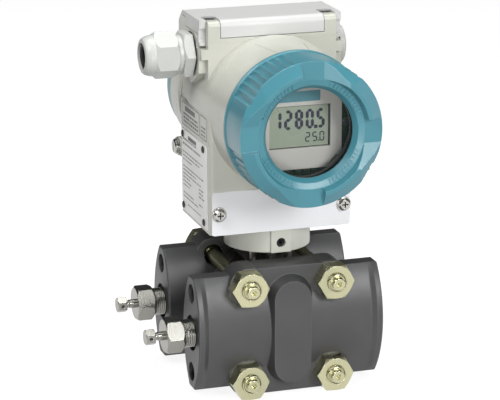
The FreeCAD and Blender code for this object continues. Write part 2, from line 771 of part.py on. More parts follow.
def housing():
    solids = [lower_block(), neck(), key_block()] + cover_posts() + hinge_ears() + [ground_boss()]
    for side in (-1, 1):
        solids.append(entry_boss(side))
        x0, x1 = sorted((side * (key_block_half_width - 1), side * ledge_out))
        ledge_rear = entry_y - entry_boss_radius * math.sqrt(3) / 2 + 1
        solids.append(box(x0, x1, -drum_straight_front, ledge_rear, ledge_bottom, ledge_top))
    collars = [about_drum([(chamber_bore, -drum_front - collar_length),
                           (collar_radius - 0.8, -drum_front - collar_length),
                           (collar_radius, -drum_front - collar_length + 0.8),
                           (collar_radius, 0), (chamber_bore, 0)]),
               about_drum([(chamber_bore, drum_rear + collar_length),
                           (collar_radius - 0.8, drum_rear + collar_length),
                           (collar_radius, drum_rear + collar_length - 0.8),
                           (collar_radius, 0), (chamber_bore, 0)])]
    body = drum().multiFuse(solids + collars)
    axis_z = drum_axis_z
    tools = [rod(chamber_bore, (0, -drum_front - collar_length - 1, axis_z), (0, -wall_front, axis_z)),
             rod(chamber_bore, (0, partition_back, axis_z), (0, drum_rear + collar_length + 1, axis_z)),
             rod(neck_bore, (0, 0, neck_bottom - 1), (0, 0, spigot_top + 0.6)),
             rod(lead_passage_radius, (0, 0, neck_bottom), (0, 0, block_bottom + 12)),
             rod(set_screw_radius + thread_clearance, (0, -neck_radius - 2, set_screw_z),
                 (0, 0, set_screw_z)),
             box(-lead_passage_radius, lead_passage_radius, -lead_passage_radius - 5,
                 -wall_front - 0.5, block_bottom + 5, axis_z - chamber_bore + 6)]
    for side in (-1, 1):
        start = side * (entry_boss_face + 1)
        tools.append(rod(entry_bore_radius, (start, entry_y, entry_z),
                         (side * (entry_boss_face - entry_bore_depth), entry_y, entry_z)))
        tools.append(rod(cover_screw_shank + thread_clearance,
                         (side * (post_inner + post_outer) / 2, cover_screw_y, post_top + 1),
                         (side * (post_inner + post_outer) / 2, cover_screw_y,
                          screw_seat_z - cover_screw_length - gap)))
        middle = side * (post_inner + post_outer) / 2
        tools.append(rod(cover_screw_head + gap, (middle, cover_screw_y, screw_seat_z),
                         (middle, cover_screw_y, post_top + 1)))
        tools.append(rod(pin_radius + pin_clearance, (side * (ear_inner - 1), hinge_y, hinge_z),
                         (side * (ear_outer + 1), hinge_y, hinge_z)))
        # room for the cover's lug
        x0, x1 = sorted((side * key_block_half_width, side * (entry_boss_face + 1)))
        tools.append(box(x0, x1, -cover_front - 1, -cover_front + lug_depth + gap, ledge_top,
                         cover_top + 1))
        tools.append(rod(label_screw_shank + thread_clearance,
                         (side * label_screw_x, -block_front - 1, label_screw_z),
                         (side * label_screw_x, -block_front + label_screw_length + gap, label_screw_z)))
    tools.append(rod(ground_screw_shank + thread_clearance,
                     (-ground_boss_face - 1, ground_boss_y, ground_boss_z),
                     (-ground_boss_face + ground_screw_length + gap, ground_boss_y, ground_boss_z)))
    # room for the cover's skirt, and the pocket for the keys
    tools.append(box(-skirt_half_width - gap, skirt_half_width + gap, -cover_front - 1,
                     -cover_front + cover_edge_round + gap, skirt_bottom - gap, cover_top))
    tools.append(box(-pocket_half_width, pocket_half_width, -pocket_front, pocket_rear,
                     pocket_floor, cover_top))
    for i in range(key_count):
        x = (i - (key_count - 1) / 2) * key_pitch
        bottom = pocket_floor + key_stand - key_stem_length - 1.3
        tools.append(rod(key_stem_radius + 0.05, (x, key_y, bottom), (x, key_y, pocket_floor + 1)))
    for y, z in rivet_places():
        tools.append(rod(rivet_radius * 0.5, (-block_half_width - 1, y, z),
                         (-block_half_width + 4, y, z)))
    casting = body.cut(tools).removeSplitter()
    return group([casting.common(zone) for zone in casting_zones()])


def casting_zones():
    """Four blocks that share the casting out face to face, so that collision is worked out apart
    for the key pocket, each of the two chambers and the foot with its bores."""
    reach = 2 * drum_front
    middle_y = (partition_back - wall_front) / 2
    foot_top = label_plate_top - label_plate_sheet
    return [box(-reach, reach, -reach, reach, pocket_floor, pocket_floor + reach),
            box(-reach, reach, -reach, middle_y, foot_top, pocket_floor),
            box(-reach, reach, middle_y, reach, foot_top, pocket_floor),
            box(-reach, reach, -reach, reach, neck_bottom - reach, foot_top)]


def neck_set_screw():
    tip = -(spigot_radius + gap)
    end = tip - set_screw_length
    screw = rod(set_screw_radius, (0, tip, set_screw_z), (0, end, set_screw_z))
    socket = hexagon(2.5, (0, end, set_screw_z), (0, end + 2.2, set_screw_z), (0, 0, 1))
    return screw.cut(socket)


# ---- screw caps, built facing -Y with the rim at Y = 0 and the axis at Z = 0 ----
def polar(radius, angle, y):
    a = math.radians(angle)
    return V(radius * math.sin(a), y, radius * math.cos(a))


def slab_beyond(p0, p1, p2, away):
    """A thick slab on the far side of the plane through three points, away from a given point."""
    normal = (p1 - p0).cross(p2 - p0)
    normal.normalize()
    if (away - p0).dot(normal) > 0:
        normal = normal * -1
    side = p1 - p0
    side.normalize()
    other = normal.cross(side)
    size = 3 * cap_radius
    base = p0 - side * (size / 2) - other * (size / 2)
    corners = [base, base + side * size, base + side * size + other * size, base + other * size]
    return Part.Face(Part.makePolygon(corners + [corners[0]])).extrude(normal * size)


def lobe():
    """One grip lobe: a ramp and a flat facet at its first end, a cone outside, a steep last end."""
    points = [(lobe_inner_foot, 0), (lobe_inner_foot, cap_depth), (lobe_inner_crest, lobe_crest),
              (lobe_outer_crest, lobe_crest), (cap_radius, cap_depth), (cap_radius, 0)]
    ring = turned(points, (0, 0, 0), (0, -1, 0), (0, 0, 1))
    quarter = box(gap_half_width, 2 * cap_radius, -2 * cap_depth, -cap_depth / 2,
                  gap_half_width, 2 * cap_radius)
    crest = polar(lobe_outer_crest, ramp_end_angle, -lobe_crest)
    foot = V(gap_half_width, -cap_depth, 0)
    ramp = slab_beyond(foot, foot + V(0, 0, cap_radius), crest, V(0, 0, 0))
    return ring.common(quarter).cut(ramp)


def start_facet():
    """Flat cut through the crest point, which leaves a slanting edge against the ramp and the cone."""
    crest = polar(lobe_outer_crest, ramp_end_angle, -lobe_crest)
    down = polar(1, facet_angle, facet_slope)
    across = polar(1, facet_angle + 90, 0)
    return slab_beyond(crest, crest + down, crest + across, V(0, 0, 0))


def quarter_turns(shape):
    copies = []
    for i in range(4):
        copy = shape.copy()
        copy.rotate(V(0, 0, 0), V(0, 1, 0), 90 * i)
        copies.append(copy)
    return copies


def grip_grooves():
    grooves = []
    centre = cap_radius + groove_radius - groove_depth
    for quarter in range(4):
        for i in range(groove_count):
            from_middle = (i - (groove_count - 1) / 2) * groove_pitch_angle
            angle = groove_middle_angle + 90 * quarter + from_middle
            start = polar(centre, angle, -cap_rim_width - 1.2)
            end = polar(centre, angle, -cap_depth)
            grooves.append(rod(groove_radius, tuple(start), tuple(end)))
    return grooves


def cap_ring(solid_inside):
    """Outside of a cap: rim, side and flat front, with the four lobes."""
    profile = [(0, 0), (cap_rim_radius, 0), (cap_rim_radius, cap_rim_width),
               (cap_radius, cap_rim_width + 0.6), (cap_radius, cap_depth), (0, cap_depth)]
    body = turned(profile, (0, 0, 0), (0, -1, 0), (0, 0, 1))
    body = body.multiFuse(quarter_turns(lobe()))
    return body.cut(grip_grooves() + quarter_turns(start_facet()) + solid_inside)


def front_cap():
    inside = [turned([(0, -1), (cap_bore, -1), (cap_bore, cap_thread_depth),
                      (glass_radius + 0.05, cap_thread_depth), (glass_radius + 0.05, glass_front),
                      (window_radius, glass_front), (window_radius, glass_front + 0.6),
                      (bezel_radius, cap_depth - bezel_drop), (print_radius, cap_depth),
                      (print_radius, lobe_crest + 1), (0, lobe_crest + 1)],
                     (0, 0, 0), (0, -1, 0), (0, 0, 1))]
    return seat_front(cap_ring(inside))


def rear_cap():
    inside = [turned([(0, -1), (cap_bore, -1), (cap_bore, cap_thread_depth),
                      (chamber_bore, cap_thread_depth + 1), (chamber_bore - 4, cap_depth - cap_wall),
                      (0, cap_depth - cap_wall)], (0, 0, 0), (0, -1, 0), (0, 0, 1))]
    cap = turn_about_z(cap_ring(inside))
    cap.translate(V(0, cap_rear_y, drum_axis_z))
    return cap


def seat_front(shape):
    shape = shape.copy()
    shape.translate(V(0, -cap_front_y, drum_axis_z))
    return shape


def window_glass():
    back = glass_front - glass_thickness
    return seat_front(turned([(0, back), (glass_radius, back), (glass_radius, glass_front - 0.05),
                              (0, glass_front - 0.05)], (0, 0, 0), (0, -1, 0), (0, 0, 1)))


def glass_retainer():
    back = glass_front - glass_thickness
    start = back - retainer_thickness
    ring = turned([(retainer_inner_radius, start), (glass_radius, start), (glass_radius, back - 0.05),
                   (retainer_inner_radius, back - 0.05)], (0, 0, 0), (0, -1, 0), (0, 0, 1))
    slot = box(-glass_radius, glass_radius, -start - 1.0, -start + 1.0, -1.2, 1.2)
    return seat_front(ring.cut(slot))


def cap_seal(shoulder, outward):
    """Square-section ring round the foot of a threaded collar."""
    return tube(cap_bore - 0.1, collar_radius + 0.02, (0, shoulder, drum_axis_z),
                (0, shoulder + outward * 2.0, drum_axis_z))


# ---- display and electronics, in the front chamber ----
def display_plate():
    y = -display_front
    low, top, half, cut = plate_bottom, plate_top, plate_half_width, plate_chamfer
    outline = [(-half, y, low + cut), (-half + cut, y, low), (half - cut, y, low),
               (half, y, low + cut), (half, y, top - cut), (half - cut, y, top),
               (-half + cut, y, top), (-half, y, top - cut)]
    plate = prism(outline, (0, plate_thickness, 0))
    window = box(-lcd_half_width, lcd_half_width, y - 1, y + plate_thickness + 1, lcd_bottom, lcd_top)
    slot = box(-2.2, 2.2, y - 1, y + plate_thickness + 1, -0.5, 0.5)
    slot.rotate(V(0, 0, 0), V(0, 1, 0), -45)
    slot.translate(V(half - cut / 2 - 0.8, 0, low + cut / 2 + 0.8))
    plate = plate.cut([window, slot])
    plate.translate(V(display_x, 0, 0))
    return plate


def lcd_panel():
    y = -display_front + lcd_recess
    return box(display_x - lcd_half_width + 0.05, display_x + lcd_half_width - 0.05, y,
               y + lcd_thickness, lcd_bottom + 0.05, lcd_top - 0.05)


def display_board():
    """Round circuit board with a row of parts along its lower edge."""
    y = -display_front + lcd_recess + lcd_thickness
    board = rod(board_radius, (0, y, drum_axis_z), (0, y + board_thickness, drum_axis_z))
    chips = []
    for i in range(5):
        x = (i - 2) * 4.2
        chips.append(box(x - 1.4, x + 1.4, y - 1.2, y, plate_bottom - 3.2, plate_bottom - 0.8))
    for side in (-1, 1):
        board = board.cut(rod(module_screw_radius + thread_clearance,
                              (side * module_screw_x, y - 1, drum_axis_z + module_screw_z),
                              (side * module_screw_x, y + 5, drum_axis_z + module_screw_z)))
    return board.multiFuse(chips)


def module_front():
    return -display_front + lcd_recess + lcd_thickness + board_thickness


def electronics_module():
    """Round carrier that holds the boards, with two screw bosses and a foot on the partition."""
    y = module_front()
    can = rod(module_radius, (0, y, drum_axis_z), (0, y + module_depth, drum_axis_z))
    foot = rod(module_radius - 6, (0, y, drum_axis_z), (0, -wall_front, drum_axis_z))
    ears = []
    for side in (-1, 1):
        x, z = side * module_screw_x, drum_axis_z + module_screw_z
        ears.append(rod(3.2, (x, y, z), (x, y + module_depth, z)))
    body = can.multiFuse([foot] + ears)
    holes = []
    for side in (-1, 1):
        x, z = side * module_screw_x, drum_axis_z + module_screw_z
        holes.append(rod(module_screw_radius + thread_clearance, (x, y - 1, z), (x, y + 8.3, z)))
    return body.cut(holes)


def module_screw(side):
    x, z = side * module_screw_x, drum_axis_z + module_screw_z
    face = module_front() - board_thickness
    head = rod(module_screw_head, (x, face - 1.8, z), (x, face, z))
    slot = box(x - 3, x + 3, face - 2, face - 1.1, z - 0.35, z + 0.35)
    return head.fuse(rod(module_screw_radius, (x, face, z), (x, face + 8.0, z))).cut(slot)


# ---- terminals, in the rear chamber ----
def terminal_block():
    base = box(-terminal_half_width, terminal_half_width, partition_back,
               partition_back + terminal_depth, terminal_z - terminal_height / 2,
               terminal_z + terminal_height / 2)
    tools = []
    for x in terminal_places():
        top = partition_back + terminal_depth
        tools.append(rod(terminal_screw_radius + thread_clearance, (x, top - 6.3, terminal_z),
                         (x, top + 1, terminal_z)))
        tools.append(box(x - 2.4, x + 2.4, top - 3.0, top + 1, terminal_z, terminal_z + 20))
    return base.cut(tools)


def terminal_places():
    return [(i - (terminal_count - 1) / 2) * terminal_pitch for i in range(terminal_count)]


def terminal_screw(x):
    top = partition_back + terminal_depth
    screw = rod(terminal_screw_radius, (x, top - 6.0, terminal_z), (x, top - 0.4, terminal_z))
    slot = box(x - 3, x + 3, top - 1.4, top, terminal_z - 0.4, terminal_z + 0.4)
    return screw.cut(slot)


# ---- cover over the keys ----
def cover_section():
    """Bent section of the cover: skirt, rounded front edge, flat top and round hinge edge."""
    t, r = cover_thickness, cover_edge_round
    bend = r * (1 - math.sqrt(0.5))
    bend_in = (r - t) * (1 - math.sqrt(0.5))
    front, top = -cover_front, cover_top

    def p(y, z):
        return V(-cover_half_width, y, z)

    def line(a, b):
        return Part.LineSegment(p(*a), p(*b))

    def arc(a, b, c):
        return Part.Arc(p(*a), p(*b), p(*c))
    edges = [line((front, skirt_bottom), (front, top - r)),
             arc((front, top - r), (front + bend, top - bend), (front + r, top)),
             line((front + r, top), (hinge_y, top)),
             arc((hinge_y, top), (cover_rear, hinge_z), (hinge_y, top - t)),
             line((hinge_y, top - t), (front + r, top - t)),
             arc((front + r, top - t), (front + t + bend_in, top - t - bend_in), (front + t, top - r)),
             line((front + t, top - r), (front + t, skirt_bottom)),
             line((front + t, skirt_bottom), (front, skirt_bottom))]
    wire = Part.Wire([e.toShape() for e in edges])
    return Part.Face(wire).extrude(V(2 * cover_half_width, 0, 0))


def cover_side():
    """Left side of the cover: slotted lug in front and the side wall behind it."""
    out = -cover_half_width
    wall = cover_half_width - key_block_half_width - gap
    lug = box(out, out + lug_thickness, -cover_front, -cover_front + lug_depth, lug_bottom, cover_top)

    def lug_corner(e):
        b = edge_box(e)
        return b.XLength > 1 and b.ZMax < lug_bottom + 0.01
    lug = rounded(lug, lug_depth * 0.3, lug_corner)

    def front_top(e):
        b = edge_box(e)
        return b.XLength > 1 and b.ZMin > cover_top - 0.01 and b.YMax < -cover_front + 0.01
    lug = rounded(lug, cover_edge_round, front_top)
    middle = -cover_front + lug_depth * 0.55
    low = (lug_bottom + cover_inner_top - lug_slot_length) / 2 + lug_slot_radius
    high = low + lug_slot_length - 2 * lug_slot_radius
    slot = [rod(lug_slot_radius, (out - 1, middle, z), (out + lug_thickness + 1, middle, z))
            for z in (low, high)]
    slot.append(box(out - 1, out + lug_thickness + 1, middle - lug_slot_radius,
                    middle + lug_slot_radius, low, high))
    side = box(out, out + wall, -cover_front + lug_depth - 1, side_rear, side_bottom,
               cover_inner_top + 0.5)
    return side.fuse(lug.cut(slot))


def key_cover():
    sheet = cover_section()
    tools = []
    for side in (-1, 1):
        middle = side * (post_inner + post_outer) / 2
        slot_in, slot_out = skirt_half_width, cover_half_width - lug_thickness
        x0, x1 = sorted((side * slot_in, side * slot_out))
        tools.append(box(x0, x1, -cover_front - 1, cover_screw_y, lug_bottom, cover_top + 1))
        tools.append(rod(notch_radius, (middle, cover_screw_y, lug_bottom),
                         (middle, cover_screw_y, cover_top + 1)))
        x0, x1 = sorted((side * slot_out, side * (cover_half_width + 1)))
        tools.append(box(x0, x1, -cover_front - 1, -cover_front + lug_depth * 0.5, lug_bottom - 1,
                         cover_top + 1))
        x0, x1 = sorted((side * (ear_inner - gap), side * (ear_outer + gap)))
        tools.append(box(x0, x1, hinge_y - hinge_radius - gap, cover_rear + 1, cover_inner_top - 1,
                         cover_top + 1))
        tools.append(rod(pin_radius + pin_clearance, (side * (pin_x - gap), hinge_y, hinge_z),
                         (side * (pin_x + pin_length + gap), hinge_y, hinge_z)))
    left = cover_side()
    body = sheet.multiFuse([left, mirror_x(left)]).cut(tools)
    return body.removeSplitter()


def cover_screw(side):
    x = side * (post_inner + post_outer) / 2
    head_top = screw_seat_z + cover_screw_head_height
    head = rod(cover_screw_head, (x, cover_screw_y, screw_seat_z), (x, cover_screw_y, head_top))
    shank = rod(cover_screw_shank, (x, cover_screw_y, screw_seat_z - cover_screw_length),
                (x, cover_screw_y, screw_seat_z))
    slot = box(x - 4, x + 4, cover_screw_y - 0.4, cover_screw_y + 0.4, head_top - 1.1, head_top + 1)
    return head.fuse(shank).cut(slot)


def hinge_pin(side):
    return rod(pin_radius, (side * pin_x, hinge_y, hinge_z),
               (side * (pin_x + pin_length), hinge_y, hinge_z))


def push_key(i):
    x = (i - (key_count - 1) / 2) * key_pitch
    bottom = pocket_floor + key_stand
    cap = box(x - key_width / 2, x + key_width / 2, key_y - key_depth / 2, key_y + key_depth / 2,
              bottom, bottom + key_height)

    def upright(e):
        return edge_box(e).ZLength > key_height - 0.1
    cap = rounded(cap, 2.2, upright)
    return cap.fuse(rod(key_stem_radius, (x, key_y, bottom - key_stem_length), (x, key_y, bottom)))


# ---- cable gland on the left, blanking plug on the right ----
def along_entry(points):
    return turned(points, (0, entry_y, entry_z), (-1, 0, 0), (0, 0, 1))


def gland_gasket():
    return along_entry([(gland_thread_radius + 0.05, entry_boss_face),
                        (gland_gasket_radius, entry_boss_face),
                        (gland_gasket_radius, entry_boss_face + gasket_thickness),
                        (gland_thread_radius + 0.05, entry_boss_face + gasket_thickness)])


def gland_body():
    seat = entry_boss_face + gasket_thickness
    hex_end = seat + gland_hex_length
    start, end = (-seat, entry_y, entry_z), (-hex_end, entry_y, entry_z)
    body = chamfered_hex(gland_hex_flats, start, end, (0, 1, 0), 1.0, both=False)
    collar_end = hex_end + gland_collar_length
    stem = along_entry([(0, seat - gland_thread_length), (gland_thread_radius - 0.8,
                        seat - gland_thread_length),
                        (gland_thread_radius, seat - gland_thread_length + 0.8),
                        (gland_thread_radius, seat), (gland_collar_radius, seat),
                        (gland_collar_radius, collar_end - gap),
                        (gland_stem_radius, collar_end - gap),
                        (gland_stem_radius, collar_end + gland_stem_length), (0,
                        collar_end + gland_stem_length)])
    bore = along_entry([(0, 0), (gland_bore_radius, 0), (gland_bore_radius, collar_end + 20),
                        (0, collar_end + 20)])
    return body.fuse(stem).cut(bore)


def dome_start():
    return entry_boss_face + gasket_thickness + gland_hex_length + gland_collar_length


def gland_dome_nut():
    start = dome_start()
    hex_end = start + dome_hex_length
    tip = hex_end + dome_length
    nut = chamfered_hex(dome_hex_flats, (-start, entry_y, entry_z), (-hex_end - 1, entry_y, entry_z),
                        (0, 0, 1), 1.7)
    steps = 5
    dome = [(0, hex_end - 2), (dome_radius, hex_end - 2), (dome_radius, hex_end)]
    for i in range(1, steps + 1):
        a = math.radians(90.0 * i / steps)
        dome.append((dome_tip_radius + (dome_radius - dome_tip_radius) * math.cos(a),
                     hex_end + dome_length * math.sin(a)))
    dome.append((0, tip))
    body = nut.fuse(along_entry(dome))
    hole = along_entry([(0, start - 1), (gland_stem_radius + gap, start - 1),
                        (gland_stem_radius + gap, hex_end), (dome_hole_radius, hex_end + 3.6),
                        (dome_hole_radius, tip + 1), (0, tip + 1)])
    return body.cut(hole)


def gland_insert():
    """Rubber sleeve that the dome nut squeezes round a cable."""
    end = dome_start() + dome_hex_length + 2.6
    start = end - insert_length
    outer = gland_bore_radius - 0.05
    return along_entry([(insert_hole_radius, start), (outer, start), (outer, end),
                        (insert_hole_radius, end)])


def blanking_plug():
    start = entry_boss_face + gasket_thickness
    plug = turned([(0, start - gland_thread_length), (gland_thread_radius, start - gland_thread_length),
                   (gland_thread_radius, start), (plug_head_radius, start),
                   (plug_head_radius, start + plug_head_length - 0.8),
                   (plug_head_radius - 0.8, start + plug_head_length),
                   (0, start + plug_head_length)], (0, entry_y, entry_z), (1, 0, 0), (0, 0, 1))
    face = start + plug_head_length
    socket = hexagon(plug_socket_flats, (face + 1, entry_y, entry_z), (face - 2.4, entry_y, entry_z),
                     (0, 0, 1))
    return plug.cut(socket)


# ---- plates and small fasteners ----
def rivet_places():
    ys = (-name_plate_front + rivet_margin_front, name_plate_rear - rivet_margin_rear)
    zs = (name_plate_bottom + rivet_margin_z, name_plate_top - rivet_margin_z)
    return [(y, z) for y in ys for z in zs]


def side_face(z):
    """X of the lower block's left side at a height."""
    share = (z - block_bottom) / (drum_axis_z - block_bottom)
    return -(block_half_width - block_taper * (1 - share))


def on_side(y0, y1, z0, z1, start, thickness):
    """A sheet lying on the leaning left side of the block."""
    low, top = side_face(z0) - start, side_face(z1) - start
    points = [(low, y0, z0), (low - thickness, y0, z0), (top - thickness, y0, z1), (top, y0, z1)]
    return prism(points, (0, y1 - y0, 0))


def name_plate():
    plate = on_side(-name_plate_front, name_plate_rear, name_plate_bottom, name_plate_top, 0.0,
                    plate_sheet)
    holes = [rod(rivet_radius * 0.5 + 0.05, (-block_half_width - 2, y, z),
                 (-block_half_width + 4, y, z)) for y, z in rivet_places()]
    return plate.cut(holes)


def name_plate_rivet(y, z):
    seat = side_face(z) - plate_sheet - 0.05
    points = [(0, -4.0), (rivet_radius * 0.48, -4.0), (rivet_radius * 0.48, 0), (rivet_radius, 0),
              (rivet_radius * 0.75, rivet_rise * 0.75), (0, rivet_rise)]
    return turned(points, (seat, y, z), (-1, 0, 0), (0, 0, 1))


def side_label():
    return on_side(-side_label_front, side_label_rear, side_label_bottom, side_label_top, 0.0,
                   label_film)


def label_plate():
    plate = box(-label_plate_half_width, label_plate_half_width, -block_front - label_plate_sheet,
                -block_front, block_bottom, label_plate_top)

    def upright(e):
        return edge_box(e).YLength > label_plate_sheet - 0.01
    plate = rounded(plate, 1.5, upright)
    holes = [rod(label_screw_shank + 0.1, (x, -block_front - 5, label_screw_z),
                 (x, -block_front + 5, label_screw_z)) for x in (-label_screw_x, label_screw_x)]
    return plate.cut(holes)


def label_washer(x):
    face = -block_front - label_plate_sheet
    return tube(washer_radius, label_screw_shank + 0.1, (x, face, label_screw_z),
                (x, face - washer_thickness, label_screw_z))


def cross_recess(x, y, z, size):
    """Crossed slots in a screw head that faces -Y."""
    return [box(x - size, x + size, y - 1, y + 1.2, z - 0.35, z + 0.35),
            box(x - 0.35, x + 0.35, y - 1, y + 1.2, z - size, z + size)]


def label_screw(x):
    seat = block_front + label_plate_sheet + washer_thickness
    head = turned([(0, seat), (label_screw_head, seat), (label_screw_head, seat + label_screw_rise * 0.5),
                   (label_screw_head * 0.7, seat + label_screw_rise), (0, seat + label_screw_rise)],
                  (x, 0, label_screw_z), (0, -1, 0), (1, 0, 0))
    shank = rod(label_screw_shank, (x, -seat, label_screw_z),
                (x, -block_front + label_screw_length, label_screw_z))
    return head.fuse(shank).cut(cross_recess(x, -seat - label_screw_rise, label_screw_z, 1.7))


def ground_washer():
    return tube(ground_washer_radius, ground_screw_shank + 0.1,
                (-ground_boss_face, ground_boss_y, ground_boss_z),
                (-ground_boss_face - washer_thickness, ground_boss_y, ground_boss_z))


def ground_screw():
    face = ground_boss_face + washer_thickness
    head = turned([(0, face), (ground_screw_head, face), (ground_screw_head, face + ground_screw_rise * 0.6),
                   (ground_screw_head * 0.8, face + ground_screw_rise), (0, face + ground_screw_rise)],
                  (0, ground_boss_y, ground_boss_z), (-1, 0, 0), (0, 0, 1))
    shank = rod(ground_screw_shank, (-face, ground_boss_y, ground_boss_z),
                (-ground_boss_face + ground_screw_length, ground_boss_y, ground_boss_z))
    slot = box(-face - ground_screw_rise - 1, -face - ground_screw_rise + 0.9, ground_boss_y - 0.5,
               ground_boss_y + 0.5, ground_boss_z - 5, ground_boss_z + 5)
    return head.fuse(shank).cut(slot)


def build():
    os.makedirs("parts", exist_ok=True)
    front = process_flange()
    export(front, "front_process_flange")
    export(turn_about_z(front), "rear_process_flange")
    export(measuring_cell(), "measuring_cell")
    disc = isolating_diaphragm()
    export(group([disc, turn_about_z(disc)]), "isolating_diaphragms")
    gasket = process_gasket()
    export(group([gasket, turn_about_z(gasket)]), "process_gaskets")
    export(cell_neck(), "cell_neck")
    export(neck_seal(), "neck_seal")
    export(group([flange_bolt(x, z) for x, z in bolt_places()]), "flange_bolts")
    export(group([flange_nut(x, z) for x, z in bolt_places()]), "flange_nuts")
    plug, screw = vent_plug(), vent_screw()
    export(plug, "front_vent_plug")
    export(screw, "front_vent_screw")
    for shape, node in ((plug, "rear_vent_plug"), (screw, "rear_vent_screw")):
        copy = shape.copy()
        copy.translate(V(0, port_spacing, 0))
        export(copy, node)

    export(housing(), "housing")
    export(neck_set_screw(), "neck_set_screw")
    export(front_cap(), "front_cap")
    export(window_glass(), "window_glass")
    export(glass_retainer(), "glass_retainer")
    export(rear_cap(), "rear_cap")
    export(cap_seal(-drum_front, -1), "front_cap_seal")
    export(cap_seal(drum_rear, 1), "rear_cap_seal")
    export(display_plate(), "display_plate")
    export(lcd_panel(), "lcd_panel")
    export(display_board(), "display_board")
    export(electronics_module(), "electronics_module")
    export(group([module_screw(s) for s in (-1, 1)]), "module_screws")
    export(terminal_block(), "terminal_block")
    export(group([terminal_screw(x) for x in terminal_places()]), "terminal_screws")

    export(key_cover(), "key_cover")
    export(group([cover_screw(s) for s in (-1, 1)]), "cover_screws")
    export(group([hinge_pin(s) for s in (-1, 1)]), "cover_hinge_pins")
    for i, node in enumerate(("mode_key", "up_key", "down_key")):
        export(push_key(i), node)

    export(gland_gasket(), "gland_gasket")
    export(gland_body(), "gland_body")
    export(gland_insert(), "gland_insert")
    export(gland_dome_nut(), "gland_dome_nut")
    export(blanking_plug(), "blanking_plug")
    export(mirror_x(gland_gasket()), "blanking_plug_gasket")

    export(name_plate(), "name_plate")
    export(group([name_plate_rivet(y, z) for y, z in rivet_places()]), "name_plate_rivets")
    export(side_label(), "side_label")
    export(label_plate(), "label_plate")
    export(group([label_washer(x) for x in (-label_screw_x, label_screw_x)]), "label_plate_washers")
    export(group([label_screw(x) for x in (-label_screw_x, label_screw_x)]), "label_plate_screws")
    export(ground_washer(), "ground_washer")
    export(ground_screw(), "ground_screw")


build()
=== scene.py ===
# %% [markdown]
# # A differential pressure transmitter, dressed for its picture
# The solids of this instrument are already modelled to size. This lesson puts paint, plating, glass
# and print on them, and adds the small things a drawing leaves out, such as threads and digits.
# The first cell loads the solids, which stay exactly where they are.

# %% Load the solids
import json
import math
import random
import bmesh
import bpy
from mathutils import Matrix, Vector


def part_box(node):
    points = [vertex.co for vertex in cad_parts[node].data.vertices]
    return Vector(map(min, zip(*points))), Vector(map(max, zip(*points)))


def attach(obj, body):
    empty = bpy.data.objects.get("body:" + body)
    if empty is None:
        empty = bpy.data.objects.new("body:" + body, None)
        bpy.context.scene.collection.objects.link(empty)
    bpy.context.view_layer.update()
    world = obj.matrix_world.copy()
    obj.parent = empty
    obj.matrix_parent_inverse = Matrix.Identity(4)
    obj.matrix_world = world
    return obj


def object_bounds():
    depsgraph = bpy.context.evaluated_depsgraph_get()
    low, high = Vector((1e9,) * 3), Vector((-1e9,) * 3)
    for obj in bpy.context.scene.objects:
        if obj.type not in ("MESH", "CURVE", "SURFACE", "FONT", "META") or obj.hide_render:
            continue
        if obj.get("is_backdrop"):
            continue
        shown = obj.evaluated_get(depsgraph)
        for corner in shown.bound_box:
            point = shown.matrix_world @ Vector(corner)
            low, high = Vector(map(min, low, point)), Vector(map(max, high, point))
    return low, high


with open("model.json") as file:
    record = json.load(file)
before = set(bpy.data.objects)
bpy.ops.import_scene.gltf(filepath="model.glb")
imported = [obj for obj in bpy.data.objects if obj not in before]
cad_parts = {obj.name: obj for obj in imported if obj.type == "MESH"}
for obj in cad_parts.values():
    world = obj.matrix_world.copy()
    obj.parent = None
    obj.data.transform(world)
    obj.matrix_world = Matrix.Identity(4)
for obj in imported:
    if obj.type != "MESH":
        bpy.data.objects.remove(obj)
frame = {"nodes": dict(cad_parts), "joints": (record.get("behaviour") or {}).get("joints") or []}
nodes = frame["nodes"]
cad_low, cad_high = [[float(v) for v in corner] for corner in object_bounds()]
joints = {joint["name"]: joint for joint in frame["joints"]}
MM = 0.001
swivel_x = joints["housing_swivel"]["pos_m"][0]
drum_z = joints["front_cap_turn"]["pos_m"][2]
print("solids:", len(nodes), "height in mm:", round((cad_high[2] - cad_low[2]) / MM, 1))

# %% [markdown]
# ## Camera
# A product picture is taken from far away with a long lens, so that parallel edges stay nearly
# parallel. A 167 mm lens a little over a metre away does that. Turning the camera by three plain
# angles, rather than aiming it at a target, keeps the horizon level.

# %% Camera
camera_data = bpy.data.cameras.new("product_camera")
camera_data.lens = 166.63
camera_data.sensor_width = 36.0
camera_data.clip_start = 0.05
camera = bpy.data.objects.new("product_camera", camera_data)
camera.location = (-0.41419, -1.08468, 0.38388)
camera.rotation_euler = (math.radians(74.10), math.radians(0.0), math.radians(-18.17))
bpy.context.scene.collection.objects.link(camera)
bpy.context.scene.camera = camera
bpy.context.scene.view_settings.view_transform = "Standard"
print("camera is", round(camera.location.length, 2), "m from the process face")

# %% [markdown]
# ## Small helpers
# Colours are given in the usual 0 to 255 scale, but a renderer works with light, so each one is
# converted once. Another helper turns a bmesh into an object that rides on one moving body, and two
# more make a thin flat plate and a turned ring.

# %% Helpers
def paint(red, green, blue):
    """A colour in the 0 to 255 scale as the renderer's light values."""
    channels = []
    for value in (red, green, blue):
        c = value / 255.0
        channels.append(c / 12.92 if c <= 0.04045 else ((c + 0.055) / 1.055) ** 2.4)
    return (channels[0], channels[1], channels[2], 1.0)


def finish_piece(name, mesh_builder, material, body, smooth=False):
    """Turns a bmesh into an object that rides on a body."""
    mesh = bpy.data.meshes.new(name)
    bmesh.ops.recalc_face_normals(mesh_builder, faces=mesh_builder.faces)
    mesh_builder.to_mesh(mesh)
    mesh_builder.free()
    for polygon in mesh.polygons:
        polygon.use_smooth = smooth
    mesh.materials.append(material)
    piece = bpy.data.objects.new(name, mesh)
    bpy.context.scene.collection.objects.link(piece)
    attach(piece, body)
    print(name, "-", len(mesh.polygons), "faces")
    return piece


